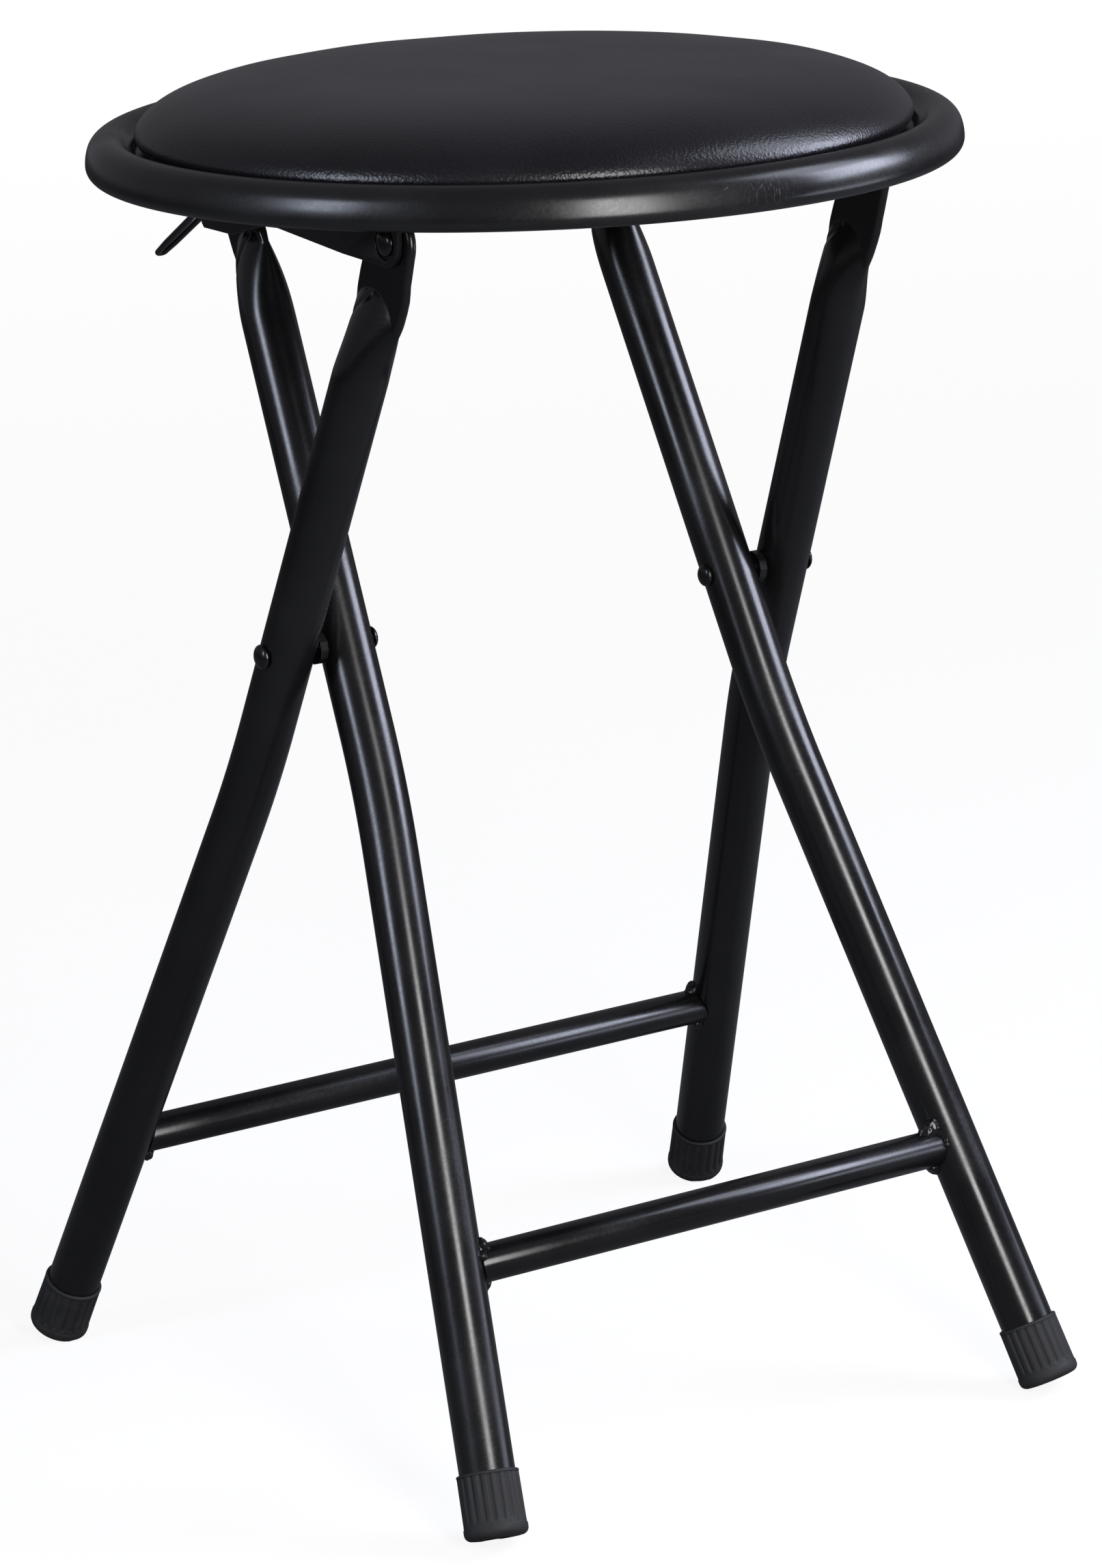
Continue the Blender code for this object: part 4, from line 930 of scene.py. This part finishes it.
def rounded_path(points, radius, steps):
    """Replace the corners of a 3D polyline with arcs."""
    path = [points[0]]
    for before, corner, after in zip(points, points[1:], points[2:]):
        back = before - corner
        ahead = after - corner
        angle = back.angle(ahead)
        if angle > math.radians(170.0):
            path.append(corner)
            continue
        cut = min(radius / math.tan(angle / 2), back.length * 0.49, ahead.length * 0.49)
        start = corner + back.normalized() * cut
        end = corner + ahead.normalized() * cut
        for index in range(steps + 1):
            share = index / steps
            path.append(start.lerp(corner, share).lerp(corner.lerp(end, share), share))
    path.append(points[-1])
    return path


def wire(path, radius, sides):
    """Round wire along a path, carried along without twist, with rounded tips."""
    rings = []
    tangent = (path[1] - path[0]).normalized()
    across = tangent.orthogonal().normalized()
    last = len(path) - 1
    for index, point in enumerate(path):
        tangent = (path[min(index + 1, last)] - path[max(index - 1, 0)]).normalized()
        across = (across - tangent * across.dot(tangent)).normalized()
        up = tangent.cross(across)
        ring = []
        for step in range(sides):
            angle = math.tau * step / sides
            ring.append(point + (across * math.cos(angle) + up * math.sin(angle)) * radius)
        rings.append(ring)
    return skin(rings)


def make_latch():
    """Bent wire latch, on the same line as its CAD node."""
    wall_outer = INNER.tab_x - TAB_HALF_THICKNESS - 4.9 * MM
    arm_x = -(wall_outer + TOUCH_GAP + WIRE_RADIUS)
    lever_x = -(wall_outer - 2.0 * MM - TOUCH_GAP - WIRE_RADIUS)
    clear = ROD_RADIUS + WIRE_RADIUS + TOUCH_GAP * 2
    flank = Vector((0.0, ROD_AXIS[0] - LATCH_EXIT[1] * clear, ROD_AXIS[1] + LATCH_EXIT[0] * clear))
    out = Vector((0.0, *LATCH_EXIT))
    tip = Vector((0.0, *LATCH_TIP))
    pivot = Vector((0.0, *LATCH_AXIS))
    loop_start = pivot + (tip - pivot).normalized() * 12.0 * MM
    waist = pivot.lerp(tip, 0.85)
    near = Vector((lever_x, 0.0, 0.0))
    far = Vector((arm_x, 0.0, 0.0))
    shift = Vector((1.0, 0.0, 0.0))
    taper = shift * 0.5 * MM
    points = [flank + out * 3.4 * MM + far, flank - out * 7.0 * MM + far, pivot + far, pivot + near,
              loop_start + near, waist + near - taper, tip + (near + far) / 2 + shift * WIRE_RADIUS * 1.1,
              tip + (near + far) / 2 - shift * WIRE_RADIUS * 1.1, waist + far + taper, loop_start + far]
    path = rounded_path(points, WIRE_BEND_RADIUS, 8)
    return add_object("latch_wire_bent", wire(path, WIRE_RADIUS, 20), GLOSS)


# Webs of weld by joint: turn round the bar, then (along, out, across) in mm.
WELD_WEBS = {
    "inner_right": ((95, (5.6, 5.2, 3.1)), (268, (3.6, 3.4, 2.6)), (150, (1.2, 1.2, 1.8))),
    "inner_left": ((100, (3.2, 3.4, 2.6)), (132, (2.1, 1.9, 1.9)), (262, (4.6, 5.2, 2.8))),
    "outer_right": ((88, (3.6, 3.4, 2.8)), (272, (3.0, 2.8, 2.6))),
    "outer_left": ((96, (3.2, 3.6, 2.6)), (265, (3.3, 3.0, 2.8))),
}


def dress_frame():
    for side, word in ((-1, "left"), (1, "right")):
        for pair, kind in ((OUTER, "outer"), (INNER, "inner")):
            body = f"{kind}_frame"
            leg = make_leg(pair, side, f"{kind}_leg_{word}_tube")
            put(leg, body, "gloss_black_steel", f"{kind}_leg_{word}")
            foot = make_foot(pair, side, f"{kind}_foot_{word}_rubber")
            put(foot, body, "black_rubber", f"{kind}_foot_{word}")
            for index, (turn, size) in enumerate(WELD_WEBS[f"{kind}_{word}"]):
                size = [length * MM for length in size]
                name = f"{kind}_weld_{word}_{index + 1}"
                put(weld_web(pair, side, name, turn, size, turn * 0.37 + side), body, "gloss_black_steel")
    for pair, kind in ((OUTER, "outer"), (INNER, "inner")):
        bar = make_crossbar(pair, f"{kind}_crossbar_tube")
        put(bar, f"{kind}_frame", "gloss_black_steel", f"{kind}_crossbar")


def dress_joints():
    """Rivets, rod and latch, on the places of their CAD nodes."""
    far = OUTER.half_spacing + LEG_RADIUS / math.cos(OUTER.upper_splay) + TOUCH_GAP
    near = INNER.half_spacing - LEG_RADIUS / math.cos(INNER.upper_splay) - TOUCH_GAP
    ear = OUTER.tab_x + TAB_HALF_THICKNESS + TOUCH_GAP + 2.0 * MM - 0.8 * MM + TOUCH_GAP
    inside = OUTER.tab_x - TAB_HALF_THICKNESS - TOUCH_GAP * 2 - 1.0 * MM
    for side, word in ((-1, "left"), (1, "right")):
        heads = (4.0 * MM, 4.4 * MM) if side > 0 else (4.4 * MM, 4.0 * MM)
        low, high = sorted((side * near, side * far))
        name = f"cross_rivet_{word}"
        rivet = make_rivet(f"{name}_head", low, high, 2.5 * MM, *heads, CROSS_AXIS)
        put(rivet, body_of(frame["nodes"][name])[0], "gloss_black_steel", name)
        low, high = sorted((side * inside, side * ear))
        name = f"top_rivet_{word}"
        rivet = make_rivet(f"{name}_head", low, high, 3.0 * MM, 4.6 * MM, 4.6 * MM, FRONT_AXIS)
        put(rivet, body_of(frame["nodes"][name])[0], "gloss_black_steel", name)
    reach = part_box("inner_top_rod")[1].x
    outline = [(0.0, -reach), (ROD_RADIUS - 0.8 * MM, -reach), (ROD_RADIUS - 0.2 * MM, -reach + 0.25 * MM),
               (ROD_RADIUS, -reach + 0.8 * MM)]
    outline += [(r, -z) for r, z in outline[::-1]]
    rod = add_object("inner_top_rod_bar", place_along_x(lathe(outline, 40), (0.0, *ROD_AXIS)), GLOSS)
    put(rod, "inner_frame", "gloss_black_steel", "inner_top_rod")
    put(make_latch(), "latch", "gloss_black_steel", "latch_wire")


def dress_seat():
    put(make_pan(), "seat", "satin_black_steel", "seat_pan")
    cushion = put(make_cushion(), "seat", "black_leatherette", "seat_cover", "seat_foam")


def soften(node, width, finish, suffix):
    """Copy of a CAD node with its edges rounded, riding in the node's place."""
    source = frame["nodes"][node]
    shape = bmesh.new()
    shape.from_mesh(source.data)
    bmesh.ops.remove_doubles(shape, verts=shape.verts, dist=1e-6)
    bmesh.ops.dissolve_limit(shape, angle_limit=math.radians(2.0), verts=shape.verts, edges=shape.edges)
    item = add_object(f"{node}_{suffix}", shape, finish, 50.0)
    edges = item.modifiers.new("edges", "BEVEL")
    edges.width = width
    edges.segments = 3
    edges.limit_method = "ANGLE"
    edges.angle_limit = math.radians(32.0)
    edges.harden_normals = True
    put(item, body_of(source)[0], "satin_black_steel", node)


def finish_cad_nodes():
    """Give the CAD nodes that stay in view their detailed materials."""
    finishes = {"satin_black_steel": SATIN, "gloss_black_steel": GLOSS, "black_leatherette": LEATHER,
                "black_rubber": RUBBER, "bright_steel": BRIGHT, "plywood": PLY, "foam": PLY}
    for item in frame["nodes"].values():
        for place in item.material_slots:
            for word, finish in finishes.items():
                if place.material and place.material.name.startswith(word):
                    place.material = finish


def station(azimuth, distance, height):
    """Place at a height over the floor and a level distance from the stool, in a direction."""
    a = math.radians(azimuth)
    return Vector((math.sin(a) * distance, -math.cos(a) * distance, height))


def soft_box(name, low, high, width, radiance, colour):
    """Area lamp between the stations of its lower and upper end, turned to the stool."""
    low, high = station(*low), station(*high)
    middle = (low + high) / 2
    upright = (high - low).normalized()
    back = middle - Vector((0.0, 0.0, 0.3))
    back = (back - upright * back.dot(upright)).normalized()
    lamp = bpy.data.lights.new(name, "AREA")
    lamp.shape = "RECTANGLE"
    lamp.size = width
    lamp.size_y = (high - low).length
    lamp.energy = radiance * math.pi * lamp.size * lamp.size_y
    lamp.color = colour
    item = bpy.data.objects.new(name, lamp)
    item.visible_camera = False
    turn = Matrix((upright.cross(back), upright, back)).transposed()
    item.matrix_world = Matrix.Translation(middle) @ turn.to_4x4()
    bpy.context.scene.collection.objects.link(item)


def make_world():
    """Soft grey room light; the camera sees white."""
    world = bpy.data.worlds.new("studio")
    bpy.context.scene.world = world
    world.use_nodes = True
    tree = world.node_tree
    tree.nodes.clear()
    seen = add_node(tree, "ShaderNodeBackground", Color=(1.0, 1.0, 1.0, 1.0), Strength=1.0)
    room = add_node(tree, "ShaderNodeBackground", Color=(0.98, 0.96, 1.06, 1.0), Strength=0.16)
    rays = add_node(tree, "ShaderNodeLightPath")
    both = add_node(tree, "ShaderNodeMixShader", Fac=rays.outputs["Is Camera Ray"])
    tree.links.new(room.outputs["Background"], both.inputs[1])
    tree.links.new(seen.outputs["Background"], both.inputs[2])
    out = add_node(tree, "ShaderNodeOutputWorld")
    tree.links.new(both.outputs["Shader"], out.inputs["Surface"])


def make_floor():
    """Pale floor that reads white to the camera, keeps the shadow and is open to a view from below."""
    made, tree, shader = graph("studio_floor", (0.86, 0.86, 0.86), 0.8)
    shader.inputs["Specular IOR Level"].default_value = 0.2
    reach = add_node(tree, "ShaderNodeVectorMath", {"operation": "LENGTH"})
    tree.links.new(object_place(tree), reach.inputs[0])
    even = spread(tree, reach.outputs["Value"], 0.4, 3.0, 1.08, 1.19)
    glow = add_node(tree, "ShaderNodeEmission", Color=(1.0, 1.0, 1.0, 1.0), Strength=even)
    clear = add_node(tree, "ShaderNodeBsdfTransparent")
    dull = add_node(tree, "ShaderNodeBsdfDiffuse", Color=(0.2, 0.2, 0.2, 1.0))
    rays = add_node(tree, "ShaderNodeLightPath")
    lit = add_node(tree, "ShaderNodeMixShader", Fac=0.82)
    tree.links.new(shader.outputs["BSDF"], lit.inputs[1])
    tree.links.new(glow.outputs["Emission"], lit.inputs[2])
    seen = add_node(tree, "ShaderNodeMixShader", Fac=rays.outputs["Is Camera Ray"])
    tree.links.new(dull.outputs["BSDF"], seen.inputs[1])
    tree.links.new(lit.outputs["Shader"], seen.inputs[2])
    side = add_node(tree, "ShaderNodeNewGeometry")
    both = add_node(tree, "ShaderNodeMixShader", Fac=side.outputs["Backfacing"])
    tree.links.new(seen.outputs["Shader"], both.inputs[1])
    tree.links.new(clear.outputs["BSDF"], both.inputs[2])
    tree.links.new(both.outputs["Shader"], tree.nodes["Material Output"].inputs["Surface"])
    shape = bmesh.new()
    bmesh.ops.create_grid(shape, x_segments=1, y_segments=1, size=6.0)
    floor = add_object("studio_floor", shape, made)
    floor.location.z = -0.0002


def make_camera():
    """Camera at the photograph's place, from the measured direction, roll and distance."""
    a, e, roll = math.radians(-31.99), math.radians(15.649), math.radians(-2.003)
    back = Vector((math.sin(a) * math.cos(e), -math.cos(a) * math.cos(e), math.sin(e)))
    right = Vector((math.cos(a), math.sin(a), 0.0))
    up = back.cross(right)
    turned_right = right * math.cos(roll) + up * math.sin(roll)
    turned_up = up * math.cos(roll) - right * math.sin(roll)
    data = bpy.data.cameras.new("camera")
    data.lens = 124.85
    data.sensor_width = 36.0
    item = bpy.data.objects.new("camera", data)
    place = Vector((-30.707, -51.693, 230.0)) * MM + back * 1857.9 * MM
    turn = Matrix((turned_right, turned_up, back)).transposed()
    item.matrix_world = Matrix.Translation(place) @ turn.to_4x4()
    bpy.context.scene.collection.objects.link(item)
    bpy.context.scene.camera = item


def make_lights():
    """Lamps where the photograph's highlights point back to."""
    soft_box("left_strip", (-84.0, 1.33, 0.58), (-84.0, 1.28, 1.12), 0.30, 13.0, (0.76, 0.83, 1.0))
    soft_box("front_strip", (-10.0, 0.98, 0.26), (-10.0, 0.98, 0.90), 0.25, 14.0, (1.0, 1.0, 1.0))
    soft_box("right_lower", (60.0, 1.05, 0.56), (60.0, 1.02, 0.98), 0.50, 13.0, (0.78, 0.82, 1.0))
    soft_box("right_upper", (60.0, 1.02, 0.98), (60.0, 0.85, 1.55), 0.60, 5.0, (0.80, 0.84, 1.0))
    soft_box("right_low", (54.0, 1.0, 0.10), (54.0, 1.0, 0.30), 0.50, 3.5, (0.78, 0.82, 1.0))


dress_frame()
dress_joints()
dress_seat()
for word in ("left", "right"):
    soften(f"seat_bracket_{word}", 0.45 * MM, SATIN, "pressed")
finish_cad_nodes()
make_world()
make_floor()
make_lights()
make_camera()
bpy.context.scene.view_settings.view_transform = "Standard"
